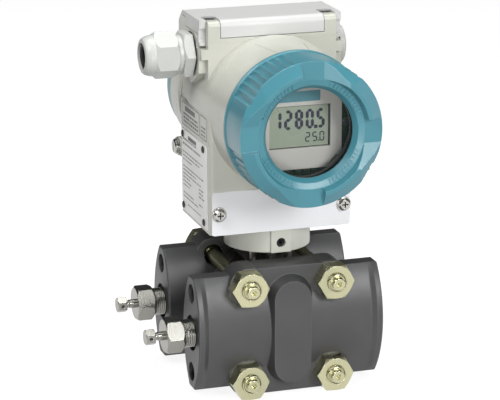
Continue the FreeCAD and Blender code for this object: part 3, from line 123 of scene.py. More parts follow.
def add_plate(builder, corners, y_front, thickness):
    """A thin flat plate facing -Y from (x, z) corners."""
    front = [builder.verts.new((x, y_front, z)) for x, z in corners]
    back = [builder.verts.new((x, y_front + thickness, z)) for x, z in corners]
    builder.faces.new(front)
    builder.faces.new(back)
    count = len(corners)
    for i in range(count):
        j = (i + 1) % count
        builder.faces.new((front[i], front[j], back[j], back[i]))


def lathe(builder, profile, sides, place):
    """A closed ring of (radius, along) profile points; place gives each point its position."""
    rings = []
    for step in range(sides):
        turn = 2 * math.pi * step / sides
        rings.append([builder.verts.new(place(radius, along, turn)) for radius, along in profile])
    for index, ring in enumerate(rings):
        following = rings[(index + 1) % sides]
        for i in range(len(profile)):
            j = (i + 1) % len(profile)
            builder.faces.new((ring[i], ring[j], following[j], following[i]))

# %% [markdown]
# ## Effects that several finishes share
# Paint, plating and moulded plastic are never perfectly even. Two node groups give that unevenness:
# a fine grain with slow mottling, and the turned or brushed streaks of machined metal. A third makes a
# mask for edges, along which the finishes lay a painted highlight. The edge mask compares the true
# surface direction with a rounded one, which differ only along edges. Each group is built once and
# gets its own values in every material.

# %% Grain group
def start_group(name, inputs, outputs):
    group = bpy.data.node_groups.new(name, "ShaderNodeTree")
    for label, value in inputs:
        socket = group.interface.new_socket(name=label, in_out="INPUT", socket_type="NodeSocketFloat")
        socket.default_value = value
    for label, kind in outputs:
        group.interface.new_socket(name=label, in_out="OUTPUT", socket_type=kind)
    return group, group.nodes.new("NodeGroupInput"), group.nodes.new("NodeGroupOutput")


grain_group, grain_in, grain_out = start_group(
    "paint_grain", [("Fineness", 900.0), ("Cloudiness", 40.0)],
    [("Height", "NodeSocketFloat"), ("Mottle", "NodeSocketFloat")])
place = grain_group.nodes.new("ShaderNodeTexCoord")
fine = grain_group.nodes.new("ShaderNodeTexNoise")
fine.inputs["Detail"].default_value = 3.0
slow = grain_group.nodes.new("ShaderNodeTexNoise")
slow.inputs["Detail"].default_value = 4.0
grain_group.links.new(place.outputs["Object"], fine.inputs["Vector"])
grain_group.links.new(place.outputs["Object"], slow.inputs["Vector"])
grain_group.links.new(grain_in.outputs["Fineness"], fine.inputs["Scale"])
grain_group.links.new(grain_in.outputs["Cloudiness"], slow.inputs["Scale"])
grain_group.links.new(fine.outputs["Fac"], grain_out.inputs["Height"])
grain_group.links.new(slow.outputs["Fac"], grain_out.inputs["Mottle"])
print("group:", grain_group.name)

# %% Edge group
edge_group, edge_in, edge_out = start_group(
    "edge_mask", [("Width", 0.0004), ("Strength", 4.0)],
    [("Edge", "NodeSocketFloat"), ("Rounded Normal", "NodeSocketVector")])
rounding = edge_group.nodes.new("ShaderNodeBevel")
rounding.samples = 4
true_side = edge_group.nodes.new("ShaderNodeNewGeometry")
compare = edge_group.nodes.new("ShaderNodeVectorMath")
compare.operation = "DOT_PRODUCT"
away = edge_group.nodes.new("ShaderNodeMath")
away.operation = "SUBTRACT"
away.inputs[0].default_value = 1.0
boost = edge_group.nodes.new("ShaderNodeMath")
boost.operation = "MULTIPLY"
boost.use_clamp = True
edge_group.links.new(edge_in.outputs["Width"], rounding.inputs["Radius"])
edge_group.links.new(rounding.outputs["Normal"], compare.inputs[0])
edge_group.links.new(true_side.outputs["Normal"], compare.inputs[1])
edge_group.links.new(compare.outputs["Value"], away.inputs[1])
edge_group.links.new(away.outputs["Value"], boost.inputs[0])
edge_group.links.new(edge_in.outputs["Strength"], boost.inputs[1])
edge_group.links.new(boost.outputs["Value"], edge_out.inputs["Edge"])
edge_group.links.new(rounding.outputs["Normal"], edge_out.inputs["Rounded Normal"])
print("group:", edge_group.name)

# %% Streak group
streak_group, streak_in, streak_out = start_group(
    "tool_streaks", [("Across X", 60.0), ("Across Y", 60.0), ("Across Z", 60.0)],
    [("Streak", "NodeSocketFloat")])
where = streak_group.nodes.new("ShaderNodeTexCoord")
stretch = streak_group.nodes.new("ShaderNodeCombineXYZ")
scaled = streak_group.nodes.new("ShaderNodeVectorMath")
scaled.operation = "MULTIPLY"
lines = streak_group.nodes.new("ShaderNodeTexNoise")
lines.inputs["Scale"].default_value = 1.0
lines.inputs["Detail"].default_value = 1.0
streak_group.links.new(where.outputs["Object"], scaled.inputs[0])
for index, label in enumerate(("Across X", "Across Y", "Across Z")):
    streak_group.links.new(streak_in.outputs[label], stretch.inputs[index])
streak_group.links.new(stretch.outputs["Vector"], scaled.inputs[1])
streak_group.links.new(scaled.outputs["Vector"], lines.inputs["Vector"])
streak_group.links.new(lines.outputs["Fac"], streak_out.inputs["Streak"])
print("group:", streak_group.name)

# %% [markdown]
# ## One recipe for painted, moulded and rubber surfaces
# These finishes differ only in colour, gloss and how coarse the grain is, so one function makes them
# all. The mottle shifts the colour by a few percent, the edges get a lighter colour as a painted
# highlight, and the grain is a very shallow bump under the rounded edges.

# %% Coated surfaces
def place_group(tree, group, values):
    node = tree.nodes.new("ShaderNodeGroup")
    node.node_tree = group
    for label, value in values.items():
        node.inputs[label].default_value = value
    return node


def colour_mix(tree, factor, first, second):
    mix = tree.nodes.new("ShaderNodeMix")
    mix.data_type = "RGBA"
    tree.links.new(factor, mix.inputs["Factor"])
    for key, value in (("A", first), ("B", second)):
        socket = [s for s in mix.inputs if s.name == key and s.type == "RGBA"][0]
        if isinstance(value, tuple):
            socket.default_value = value
        else:
            tree.links.new(value, socket)
    return [s for s in mix.outputs if s.type == "RGBA"][0]


def value_range(tree, source, low, high):
    node = tree.nodes.new("ShaderNodeMapRange")
    node.inputs["From Min"].default_value = 0.3
    node.inputs["From Max"].default_value = 0.7
    node.inputs["To Min"].default_value = low
    node.inputs["To Max"].default_value = high
    tree.links.new(source, node.inputs["Value"])
    return node.outputs["Result"]


def bump_from(tree, height, rounded_normal, strength, distance):
    bump = tree.nodes.new("ShaderNodeBump")
    bump.inputs["Strength"].default_value = strength
    bump.inputs["Distance"].default_value = distance
    tree.links.new(height, bump.inputs["Height"])
    if rounded_normal is not None:
        tree.links.new(rounded_normal, bump.inputs["Normal"])
    return bump.outputs["Normal"]


def new_finish(name):
    material = bpy.data.materials.new(name)
    material.use_nodes = True
    tree = material.node_tree
    return material, tree, tree.nodes["Principled BSDF"]


def coated(name, colour, shade, edge_highlight, gloss, fineness=900.0, depth=0.00002, coat=0.0, metal=0.0,
           specular=0.5, edge_width=0.0004, cloudiness=40.0, bump=0.35):
    """Paint, plastic or rubber, from a colour, its darker mottle, a painted edge highlight colour and a
    gloss range.
    """
    material, tree, shader = new_finish(name)
    grain = place_group(tree, grain_group, {"Fineness": fineness, "Cloudiness": cloudiness})
    edges = place_group(tree, edge_group, {"Width": edge_width, "Strength": 3.0})
    clouds = value_range(tree, grain.outputs["Mottle"], 0.0, 1.0)
    body = colour_mix(tree, clouds, colour, shade)
    # The lighter edge colour is a painted highlight along the edges.
    top = colour_mix(tree, edges.outputs["Edge"], body, edge_highlight)
    tree.links.new(top, shader.inputs["Base Color"])
    tree.links.new(value_range(tree, grain.outputs["Mottle"], gloss[0], gloss[1]),
                   shader.inputs["Roughness"])
    tree.links.new(bump_from(tree, grain.outputs["Height"], edges.outputs["Rounded Normal"], bump,
                             depth), shader.inputs["Normal"])
    shader.inputs["Metallic"].default_value = metal
    shader.inputs["Specular IOR Level"].default_value = specular
    shader.inputs["Coat Weight"].default_value = coat
    shader.inputs["Coat Roughness"].default_value = 0.06
    return material


housing_paint = coated("housing_powder_coat", paint(200, 201, 191), paint(194, 195, 184),
                       paint(214, 214, 206), (0.26, 0.36), fineness=650.0, depth=0.00003,
                       coat=0.15)
cap_paint = coated("cap_teal_gloss", paint(74, 139, 153), paint(68, 132, 146), paint(118, 182, 194),
                   (0.27, 0.37), fineness=500.0, depth=0.00002, coat=0.1, edge_width=0.0005)
coated("cover_moulding", paint(207, 207, 206), paint(203, 203, 202),
       paint(219, 219, 218), (0.36, 0.46), fineness=1400.0)
coated("label_plate_enamel", paint(240, 241, 244), paint(236, 237, 240),
       paint(242, 243, 244), (0.30, 0.42), fineness=1100.0, edge_width=0.0002)
coated("gland_polyamide", paint(201, 203, 199), paint(193, 195, 190),
       paint(214, 215, 212), (0.30, 0.42), fineness=1200.0)
coated("flange_dark_coat", paint(83, 83, 84), paint(72, 72, 73), paint(120, 120, 121),
       (0.36, 0.50), fineness=420.0, depth=0.00006, metal=0.35, edge_width=0.0007,
       cloudiness=26.0, bump=0.5)
rubber_black = coated("seal_rubber", paint(26, 26, 27), paint(20, 20, 21), paint(44, 44, 45),
                      (0.55, 0.7), fineness=1500.0)
coated("key_silicone", paint(92, 96, 99), paint(84, 88, 91), paint(118, 121, 123),
       (0.5, 0.62), fineness=1500.0)
module_plastic = coated("module_moulding", paint(24, 25, 27), paint(17, 18, 20), paint(48, 49, 51),
                        (0.42, 0.55), fineness=1000.0)
coated("display_frame_moulding", paint(204, 202, 196), paint(197, 195, 189),
       paint(204, 202, 197), (0.4, 0.5), fineness=1300.0)
coated("board_solder_mask", paint(22, 52, 34), paint(15, 40, 26), paint(44, 78, 48),
       (0.25, 0.4), fineness=900.0)
coated("seal_fluoroplastic", paint(232, 232, 228), paint(224, 224, 220),
       paint(240, 240, 238), (0.4, 0.5))
blacking_and_shade = coated("blacking_and_painted_shade", paint(38, 37, 38), paint(28, 27, 28), paint(96, 96, 97),
                     (0.25, 0.4), fineness=1200.0, metal=0.6)
print("coated finishes ready")

# %% [markdown]
# ## Machined and plated metal
# Bare steel and plated bolts are full metals. Lathe and brush marks are long fine streaks, so the
# noise is squeezed hard along one direction. The zinc plating of the bolts is passivated yellow, with
# a faint greenish cloud that is typical of it.

# %% Metals
def metal_finish(name, colour, cloud, gloss, across, depth=0.000012, edge_highlight=None, cloudiness=60.0):
    material, tree, shader = new_finish(name)
    grain = place_group(tree, grain_group, {"Fineness": 1200.0, "Cloudiness": cloudiness})
    streaks = place_group(tree, streak_group, {"Across X": across[0], "Across Y": across[1],
                                               "Across Z": across[2]})
    edges = place_group(tree, edge_group, {"Width": 0.0003, "Strength": 4.0})
    body = colour_mix(tree, value_range(tree, grain.outputs["Mottle"], 0.0, 1.0), colour, cloud)
    # The edge colour is a painted highlight and glint along the edges.
    top = colour_mix(tree, edges.outputs["Edge"], body, edge_highlight or colour)
    tree.links.new(top, shader.inputs["Base Color"])
    tree.links.new(value_range(tree, streaks.outputs["Streak"], gloss[0], gloss[1]),
                   shader.inputs["Roughness"])
    tree.links.new(bump_from(tree, streaks.outputs["Streak"], edges.outputs["Rounded Normal"], 0.04,
                             depth), shader.inputs["Normal"])
    shader.inputs["Metallic"].default_value = 1.0
    return material


stainless = metal_finish("stainless_turned", paint(148, 147, 141), paint(142, 141, 135),
                         (0.25, 0.29), (700.0, 12.0, 12.0), depth=0.000001,
                         edge_highlight=paint(206, 205, 200), cloudiness=24.0)
metal_finish("small_screw_steel", paint(186, 185, 181), paint(168, 167, 163),
             (0.22, 0.27), (300.0, 300.0, 300.0), depth=0.000001,
             edge_highlight=paint(220, 219, 216), cloudiness=24.0)
zinc = metal_finish("yellow_zinc", paint(198, 194, 160), paint(184, 183, 150), (0.24, 0.31),
                    (200.0, 30.0, 200.0), depth=0.000001, edge_highlight=paint(232, 228, 204),
                    cloudiness=40.0)
metal_finish("cell_turned_steel", paint(150, 149, 146), paint(132, 131, 128),
             (0.28, 0.44), (400.0, 5200.0, 400.0))
print("metals ready")


# %% [markdown]
# ## Thin sheet and print
# The name plate is brushed aluminium with a satin varnish, almost white. The side label is a matt
# silver film. Print is plain ink: grey bars and frames stand where words would be, because the
# instrument carries no maker's text.

# %% Sheet and inks
coated("name_plate_varnish", paint(244, 244, 242), paint(238, 238, 236),
       paint(240, 240, 239), (0.3, 0.44), fineness=2200.0, metal=0.15,
       edge_width=0.0002)
coated("side_label_film", paint(206, 207, 200), paint(200, 201, 194),
       paint(214, 214, 208), (0.3, 0.4), fineness=1800.0, edge_width=0.0001)
grey_ink = coated("plate_grey_ink", paint(150, 150, 150), paint(140, 140, 140), paint(150, 150, 150),
                  (0.5, 0.6), edge_width=0.00005)
dark_ink = coated("plate_dark_ink", paint(92, 92, 88), paint(84, 84, 80), paint(92, 92, 88),
                  (0.45, 0.55), edge_width=0.00005)
band_ink = coated("display_band_teal", paint(78, 138, 150), paint(72, 131, 143), paint(90, 150, 160),
                  (0.35, 0.45), edge_width=0.0001)
segment_ink = coated("display_segments", paint(16, 18, 50), paint(13, 15, 44), paint(16, 18, 50),
                     (0.4, 0.5), edge_width=0.00005)
coated("display_panel", paint(158, 168, 150), paint(151, 161, 143), paint(158, 168, 150),
       (0.25, 0.35), fineness=2600.0, edge_width=0.0001)
print("inks ready")

# %% [markdown]
# ## Window glass
# The window is a plain toughened disc. Real refraction is not needed for a flat pane, so a mostly
# clear transparent surface with a sharp reflection shows the display behind it cleanly.

# %% Glass
_, glass_tree, glass_shader = new_finish("window_clear_glass")
glass_shader.inputs["Base Color"].default_value = paint(90, 104, 102)
glass_shader.inputs["Roughness"].default_value = 0.02
glass_shader.inputs["IOR"].default_value = 1.45
glass_shader.inputs["Alpha"].default_value = 0.05
dust = place_group(glass_tree, grain_group, {"Fineness": 300.0, "Cloudiness": 60.0})
glass_tree.links.new(value_range(glass_tree, dust.outputs["Mottle"], 0.02, 0.05),
                     glass_shader.inputs["Roughness"])
print("glass ready")

# %% [markdown]
# ## Hand out the finishes
# Every solid gets its finish in one table. The solids themselves stay as they are, and only their
# material changes.

# %% Dress the solids
finishes = {
    "flange_dark_coat": ("front_process_flange", "rear_process_flange"),
    "yellow_zinc": ("flange_bolts", "flange_nuts"),
    "stainless_turned": ("front_vent_plug", "rear_vent_plug", "front_vent_screw", "rear_vent_screw",
                         "isolating_diaphragms"),
    "cell_turned_steel": ("measuring_cell", "cell_neck"),
    "housing_powder_coat": ("housing",),
    "cap_teal_gloss": ("front_cap", "rear_cap"),
    "cover_moulding": ("key_cover",),
    "label_plate_enamel": ("label_plate",),
    "gland_polyamide": ("gland_body", "gland_dome_nut", "blanking_plug"),
    "seal_rubber": ("neck_seal", "front_cap_seal", "rear_cap_seal", "gland_gasket", "gland_insert",
                    "blanking_plug_gasket"),
    "key_silicone": ("mode_key", "up_key", "down_key"),
    # The glass retainer takes the dark moulding as painted shade inside the window cap.
    "module_moulding": ("electronics_module", "terminal_block", "glass_retainer"),
    "display_frame_moulding": ("display_plate",),
    "display_panel": ("lcd_panel",),
    "board_solder_mask": ("display_board",),
    "seal_fluoroplastic": ("process_gaskets",),
    "small_screw_steel": ("module_screws", "terminal_screws", "cover_hinge_pins",
                          "label_plate_washers", "label_plate_screws",
                          "ground_washer", "ground_screw"),
    "name_plate_varnish": ("name_plate",),
    # The cover screws take the dark blacking as painted shade in their notches.
    "blacking_and_painted_shade": ("name_plate_rivets", "neck_set_screw", "cover_screws"),
    "side_label_film": ("side_label",),
    "window_clear_glass": ("window_glass",),
}
dressed = 0
for finish_name, node_names in finishes.items():
    for node_name in node_names:
        for slot in nodes[node_name].material_slots:
            slot.material = bpy.data.materials[finish_name]
        dressed += 1
print("dressed", dressed, "of", len(nodes), "solids")

# %% [markdown]
# ## Screw threads
# A thread is a ridge that climbs round a cylinder, so it is made as exactly that: a small triangle
# carried round a helix, closed at both ends. The ridge stands on the plain cylinders of the solids.
# For a tapped hole the triangle points inwards.

# %% Thread ridges
def thread_ridge(name, start, direction, radius, depth, pitch, length, body, material, inward=False):
    """A helical ridge from start along direction, with its base on a cylinder of the given radius."""
    along = Vector(direction).normalized()
    side = along.orthogonal().normalized()
    other = along.cross(side)
    builder = bmesh.new()
    steps_per_turn = 36
    fade_steps = 9.0
    sunk = 0.04 * MM
    steps = int(length / pitch * steps_per_turn)
    tip = radius - depth if inward else radius + depth
    base = radius + sunk if inward else radius - sunk
    rings = []
    for step in range(steps + 1):
        angle = 2 * math.pi * step / steps_per_turn
        rise = (length - pitch) * step / steps
        out = side * math.cos(angle) + other * math.sin(angle)
        fade = min(1.0, step / fade_steps, (steps - step) / fade_steps)
        reach = base + (tip - base) * max(fade, 0.05)
        ring = [builder.verts.new(Vector(start) + along * rise + out * base),
                builder.verts.new(Vector(start) + along * (rise + pitch * 0.48) + out * reach),
                builder.verts.new(Vector(start) + along * (rise + pitch * 0.96) + out * base)]
        rings.append(ring)
    for first, second in zip(rings, rings[1:]):
        for i in range(3):
            j = (i + 1) % 3
            builder.faces.new((first[i], first[j], second[j], second[i]))
    builder.faces.new(rings[0])
    builder.faces.new(rings[-1])
    return finish_piece(name, builder, material, body)


left_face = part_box("front_process_flange")[0][0]
right_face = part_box("front_process_flange")[1][0]
port_y = 27 * MM
plug_hex_length, plug_radius, plug_pitch = 9.0 * MM, 6.78 * MM, 1.15 * MM
ridge_depth = 0.42 * MM
into_port = 1.6 * MM
for where_name, y in (("front", -port_y), ("rear", port_y)):
    hex_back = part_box(where_name + "_vent_plug")[0][0] + plug_hex_length
    thread_ridge(where_name + "_vent_plug_thread", (hex_back, y, 0), (1, 0, 0), plug_radius,
                 ridge_depth, plug_pitch, left_face - hex_back + into_port, "process_body", stainless)

# %% Tapped holes in the end faces
hole_z = 20.65 * MM
hole_start = 0.5 * MM
hole_radius, hole_depth, hole_pitch, hole_length = 4.95 * MM, 0.4 * MM, 1.27 * MM, 8.9 * MM
hole_places = [(y, z) for y in (-port_y, port_y) for z in (-hole_z, hole_z)]
# The ridges in the tapped holes take the dark blacking as painted shade inside the holes, and their
# lighter edges are painted glints.
for face_name, face_x, inwards in (("left", left_face, 1), ("right", right_face, -1)):
    for place_index, (y, z) in enumerate(hole_places):
        thread_ridge("tapped_hole_%s_%d" % (face_name, place_index),
                     (face_x + inwards * hole_start, y, z), (inwards, 0, 0), hole_radius, hole_depth,
                     hole_pitch, hole_length, "process_body", blacking_and_shade, inward=True)

# %% Bolt ends
nut_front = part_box("flange_nuts")[0][1]
bolt_x, bolt_z = 22.6 * MM, 24.6 * MM
bolt_radius, bolt_pitch, bolt_end_length = 4.55 * MM, 0.7 * MM, 1.9 * MM
bolt_places = [(x, z) for x in (-bolt_x, bolt_x) for z in (-bolt_z, bolt_z)]
for place_index, (x, z) in enumerate(bolt_places):
    thread_ridge("bolt_thread_%d" % place_index, (swivel_x + x, nut_front, z), (0, -1, 0),
                 bolt_radius, ridge_depth, bolt_pitch, bolt_end_length, "process_body", zinc)

# %% Painted shade in the crossed screw recesses
screw_head_radius = 3.3 * MM
slot_reach, slot_half_width = 1.65 * MM, 0.33 * MM
shade_below_face, shade_plate_thickness = 0.12 * MM, 0.05 * MM
screw_low, screw_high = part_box("label_plate_screws")
recess_z = (screw_low[2] + screw_high[2]) / 2
# Thin dark plates just below the head faces are painted shade in the cross recesses.
recess_painted_shade = bmesh.new()
for recess_x in (screw_low[0] + screw_head_radius, screw_high[0] - screw_head_radius):
    for half_wide, half_tall in ((slot_reach, slot_half_width), (slot_half_width, slot_reach)):
        add_plate(recess_painted_shade, [(recess_x - half_wide, recess_z - half_tall),
                                  (recess_x + half_wide, recess_z - half_tall),
                                  (recess_x + half_wide, recess_z + half_tall),
                                  (recess_x - half_wide, recess_z + half_tall)],
                  screw_low[1] + shade_below_face, shade_plate_thickness)
finish_piece("screw_recess_painted_shade", recess_painted_shade, blacking_and_shade, "head")

# %% Lip of the gland's sealing sleeve
insert_low, insert_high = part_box("gland_insert")
gland_y = (insert_low[1] + insert_high[1]) / 2
gland_z = (insert_low[2] + insert_high[2]) / 2
lip = bmesh.new()
lip_profile = [(5.0, -0.6), (5.0, 2.3), (5.25, 2.75), (5.9, 2.9), (6.5, 2.75), (6.75, 2.3),
               (6.75, 0.1), (6.5, -0.6)]
lip_sides = 72


def on_gland_axis(radius, along, turn):
    return (insert_low[0] - along * MM, gland_y + radius * MM * math.sin(turn),
            gland_z + radius * MM * math.cos(turn))


lathe(lip, lip_profile, lip_sides, on_gland_axis)
finish_piece("gland_insert_lip", lip, rubber_black, "head", smooth=True)

# %% [markdown]
# ## Display
# The display shows one large reading and one small one. Each digit has seven bars with pointed
# ends, as on a real liquid crystal, and each bar is a thin plate of ink on the panel. A teal band on
# the frame above the panel stays plain.

# %% Seven-segment digits
SEGMENTS = {"0": "abcdef", "1": "bc", "2": "abged", "3": "abgcd", "4": "fgbc", "5": "afgcd",
            "6": "afgedc", "7": "abc", "8": "abcdefg", "9": "abcdfg"}
ink_thickness = 0.03 * MM
bar_gap_share = 0.06
dot_share = 1.1
dot_shift_share = 0.2


def add_bar(builder, x0, z0, x1, z1, width, y_front):
    """One bar of a digit, pointed at both ends."""
    run = Vector((x1 - x0, z1 - z0)).normalized()
    side = Vector((-run.y, run.x)) * (width / 2)
    tip = run * (width / 2)
    a, b = Vector((x0, z0)), Vector((x1, z1))
    corners = [a, a + tip + side, b - tip + side, b, b - tip - side, a + tip - side]
    add_plate(builder, [(c.x, c.y) for c in corners], y_front, ink_thickness)


def add_digit(builder, character, x, z, width, height, bar, y_front):
    """A digit whose lower left corner is at x, z."""
    gap = bar * bar_gap_share
    half = height / 2
    left, right = x + bar / 2, x + width - bar / 2
    low, mid, top = z + bar / 2, z + half, z + height - bar / 2
    places = {"a": (left, top, right, top), "g": (left, mid, right, mid), "d": (left, low, right, low),
              "f": (left, mid, left, top), "b": (right, mid, right, top),
              "e": (left, low, left, mid), "c": (right, low, right, mid)}
    for segment in SEGMENTS[character]:
        x0, z0, x1, z1 = places[segment]
        if x0 == x1:
            add_bar(builder, x0, z0 + gap, x1, z1 - gap, bar, y_front)
        else:
            add_bar(builder, x0 + gap, z0, x1 - gap, z1, bar, y_front)


def add_reading(builder, text, right_edge, z, width, height, bar, step, y_front):
    """A row of digits that ends at the right edge."""
    x = right_edge
    for character in reversed(text):
        if character == ".":
            size = bar * dot_share
            dot_x = x - (step - width) / 2 - size / 2 + bar * dot_shift_share
            add_plate(builder, [(dot_x, z), (dot_x + size, z), (dot_x + size, z + size),
                                (dot_x, z + size)], y_front, ink_thickness)
        else:
            x -= step
            add_digit(builder, character, x, z, width, height, bar, y_front)


panel_low, panel_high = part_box("lcd_panel")
ink_y = panel_low[1] - 0.06 * MM
reading = bmesh.new()
# each row: text, right margin, height above the panel's edge, digit width and height, bar, step
for text, margin, foot_up, width, height, bar, step in (("1280.5", 1.3, 9.0, 4.3, 10.0, 1.6, 5.6),
                                                        ("25.0", 1.6, 2.4, 2.6, 4.9, 0.6, 3.7)):
    add_reading(reading, text, panel_high[0] - margin * MM, panel_low[2] + foot_up * MM, width * MM,
                height * MM, bar * MM, step * MM, ink_y)
finish_piece("display_reading", reading, segment_ink, "head")

# %% Dark joint round the panel, partly painted shade
joint = bmesh.new()
# The strips stand for a dark joint, and they are wider on the right and at the top as painted shade of
# the recessed panel.
joint_y = panel_low[1] - 0.05 * MM
edge_left, edge_right = panel_low[0] + 0.3 * MM, panel_high[0] - 0.8 * MM
edge_low, edge_high = panel_low[2] + 0.3 * MM, panel_high[2] - 0.4 * MM
for x0, x1, z0, z1 in ((panel_low[0], edge_left, panel_low[2], panel_high[2]),
                       (edge_right, panel_high[0], panel_low[2], panel_high[2]),
                       (edge_left, edge_right, panel_low[2], edge_low),
                       (edge_left, edge_right, edge_high, panel_high[2])):
    add_plate(joint, [(x0, z0), (x1, z0), (x1, z1), (x0, z1)], joint_y, ink_thickness)
finish_piece("display_joint_and_shade", joint, module_plastic, "head")

# %% Band above the panel
band = bmesh.new()
band_thickness = 0.1 * MM
band_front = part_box("display_plate")[0][1] - 0.12 * MM
band_left, band_right = panel_low[0] - 1.5 * MM, panel_high[0] - 5.4 * MM
band_low, band_high = panel_high[2] + 2.1 * MM, panel_high[2] + 7.4 * MM
add_plate(band, [(band_left, band_low), (band_right, band_low), (band_right, band_high),
                 (band_left, band_high)], band_front, band_thickness)
finish_piece("display_band", band, band_ink, "head")

# %% [markdown]
# ## Print on the name plate and the side label
# Rows of short bars read as lines of print from a step away, and say nothing. They are flat plates a
# few hundredths thick that lie on the sheet, which leans a little because the casting has draft. The
# random lengths are seeded, so they come out the same every time.

# %% Bars on the left-hand sheets
def lean_line(node):
    """X of a sheet's outer face as a function of height, read from the solid's corners."""
    mesh = nodes[node].data
    points = [v.co for v in mesh.vertices]
    low_z, high_z = min(p.z for p in points), max(p.z for p in points)
    low_x = min(p.x for p in points if p.z < low_z + 0.05 * MM)
    high_x = min(p.x for p in points if p.z > high_z - 0.05 * MM)
    return lambda z: low_x + (high_x - low_x) * (z - low_z) / (high_z - low_z)


def add_side_bar(builder, outer_x, y0, y1, z0, z1, proud=0.03 * MM):
    """A flat bar on a leaning sheet that faces -X."""
    out = [(outer_x(z0) - proud, y0, z0), (outer_x(z0) - proud, y1, z0),
           (outer_x(z1) - proud, y1, z1), (outer_x(z1) - proud, y0, z1)]
    back = [(outer_x(z0) - 0.004 * MM, y0, z0), (outer_x(z0) - 0.004 * MM, y1, z0),
            (outer_x(z1) - 0.004 * MM, y1, z1), (outer_x(z1) - 0.004 * MM, y0, z1)]
    front_verts = [builder.verts.new(p) for p in out]
    back_verts = [builder.verts.new(p) for p in back]
    builder.faces.new(front_verts)
    builder.faces.new(back_verts)
    for i in range(4):
        j = (i + 1) % 4
        builder.faces.new((front_verts[i], front_verts[j], back_verts[j], back_verts[i]))


def add_print_row(builder, outer_x, y_from, y_to, z, height, rng):
    """Dashes of uneven length along one row, read from the rear edge towards the front."""
    y = y_from
    step = -1 if y_to < y_from else 1
    while (y_to - y) * step > 1.2 * MM:
        dash = rng.uniform(1.0, 4.2) * MM
        end = y + step * min(dash, abs(y_to - y))
        add_side_bar(builder, outer_x, min(y, end), max(y, end), z, z + height)
        y = end + step * rng.uniform(0.5, 0.9) * MM


plate_low, plate_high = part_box("name_plate")
plate_face = lean_line("name_plate")
rng = random.Random(7)
print_rows = bmesh.new()
rear_y, front_y = plate_high[1] - 2.6 * MM, plate_low[1] + 2.4 * MM
row_plan = [(38.2, 0.0, 0.62, 1.0), (35.6, 0.0, 0.8, 1.0), (31.4, 0.0, 0.9, 0.7),
            (29.4, 0.0, 0.75, 0.7), (27.4, 0.0, 0.45, 0.7), (23.8, 0.0, 0.92, 0.7),
            (21.8, 0.0, 0.6, 0.7), (19.8, 0.0, 0.85, 0.7), (17.8, 0.0, 0.3, 0.7),
            (17.8, 0.72, 0.95, 0.7), (15.8, 0.0, 0.36, 0.7), (15.8, 0.72, 0.9, 0.7),
            (13.8, 0.0, 0.28, 0.7), (13.8, 0.72, 0.96, 0.7), (9.6, 0.0, 0.5, 0.7),
            (9.6, 0.72, 0.88, 0.7), (7.6, 0.0, 0.66, 0.7), (4.4, 0.2, 0.8, 0.6)]
for height_up, start, end, tall in row_plan:
    span = front_y - rear_y
    add_print_row(print_rows, plate_face, rear_y + span * start, rear_y + span * end,
                  plate_low[2] + height_up * MM, tall * MM, rng)
finish_piece("name_plate_print", print_rows, grey_ink, "head")
heading = bmesh.new()
add_side_bar(heading, plate_face, plate_low[1] + 17.0 * MM, plate_low[1] + 31.0 * MM,
             plate_high[2] - 3.9 * MM, plate_high[2] - 1.9 * MM)
finish_piece("name_plate_heading", heading, dark_ink, "head")

# %% Frames on the side label
label_low, label_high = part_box("side_label")
label_face = lean_line("side_label")
label_print = bmesh.new()


def add_frame(builder, outer_x, y0, y1, z0, z1, line):
    add_side_bar(builder, outer_x, y0, y1, z0, z0 + line)
    add_side_bar(builder, outer_x, y0, y1, z1 - line, z1)
    add_side_bar(builder, outer_x, y0, y0 + line, z0 + line, z1 - line)
    add_side_bar(builder, outer_x, y1 - line, y1, z0 + line, z1 - line)


split_y = label_low[1] + 12.1 * MM
half_split, margin, frame_line = 0.5 * MM, 0.4 * MM, 0.45 * MM
add_frame(label_print, label_face, split_y + half_split, label_high[1] - margin,
          label_low[2] + margin, label_high[2] - margin, frame_line)
add_frame(label_print, label_face, label_low[1] + margin, split_y - half_split,
          label_low[2] + margin, label_high[2] - margin, frame_line)
add_side_bar(label_print, label_face, split_y + 8 * MM, label_high[1] - 6 * MM,
             label_low[2] + 8.3 * MM, label_low[2] + 10.8 * MM)
for row in range(3):
    z = label_low[2] + (2.0 + row * 2.0) * MM
    add_print_row(label_print, label_face, label_high[1] - 3.0 * MM, split_y + 3.0 * MM, z,
                  1.1 * MM, rng)
    add_print_row(label_print, label_face, split_y - 2.6 * MM, label_low[1] + 2.4 * MM, z,
                  0.9 * MM, rng)
finish_piece("side_label_print", label_print, dark_ink, "head")

# %% [markdown]
# ## Rear end of the drum
# The casting runs further back over the rear cap than its solid does. The rest of it is a thin
# painted sleeve that starts inside the drum's rear end and closes with a rounded lip. The cap turns
# inside it.

# %% Rear sleeve
drum_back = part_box("rear_cap_seal")[0][1]
sleeve = bmesh.new()
sleeve_profile = [(37.5, -0.6), (37.5, 0.0), (37.7, 0.02), (37.7, 14.6), (37.45, 15.3),
                  (37.15, 15.6), (37.0, 15.4), (37.0, 0.35), (36.2, 0.3), (36.2, -0.6)]
sleeve_sides = 96


def on_drum_axis(radius, along, turn):
    return (swivel_x + radius * MM * math.sin(turn), drum_back + along * MM,
            drum_z + radius * MM * math.cos(turn))


lathe(sleeve, sleeve_profile, sleeve_sides, on_drum_axis)
finish_piece("drum_rear_sleeve", sleeve, housing_paint, "head")

# %% [markdown]
# ## Relief round the window
# The cap has small raised marks cast into the slope inside each grip. Here they are plain strokes,
# evenly spread, that lean with the surface they stand on.

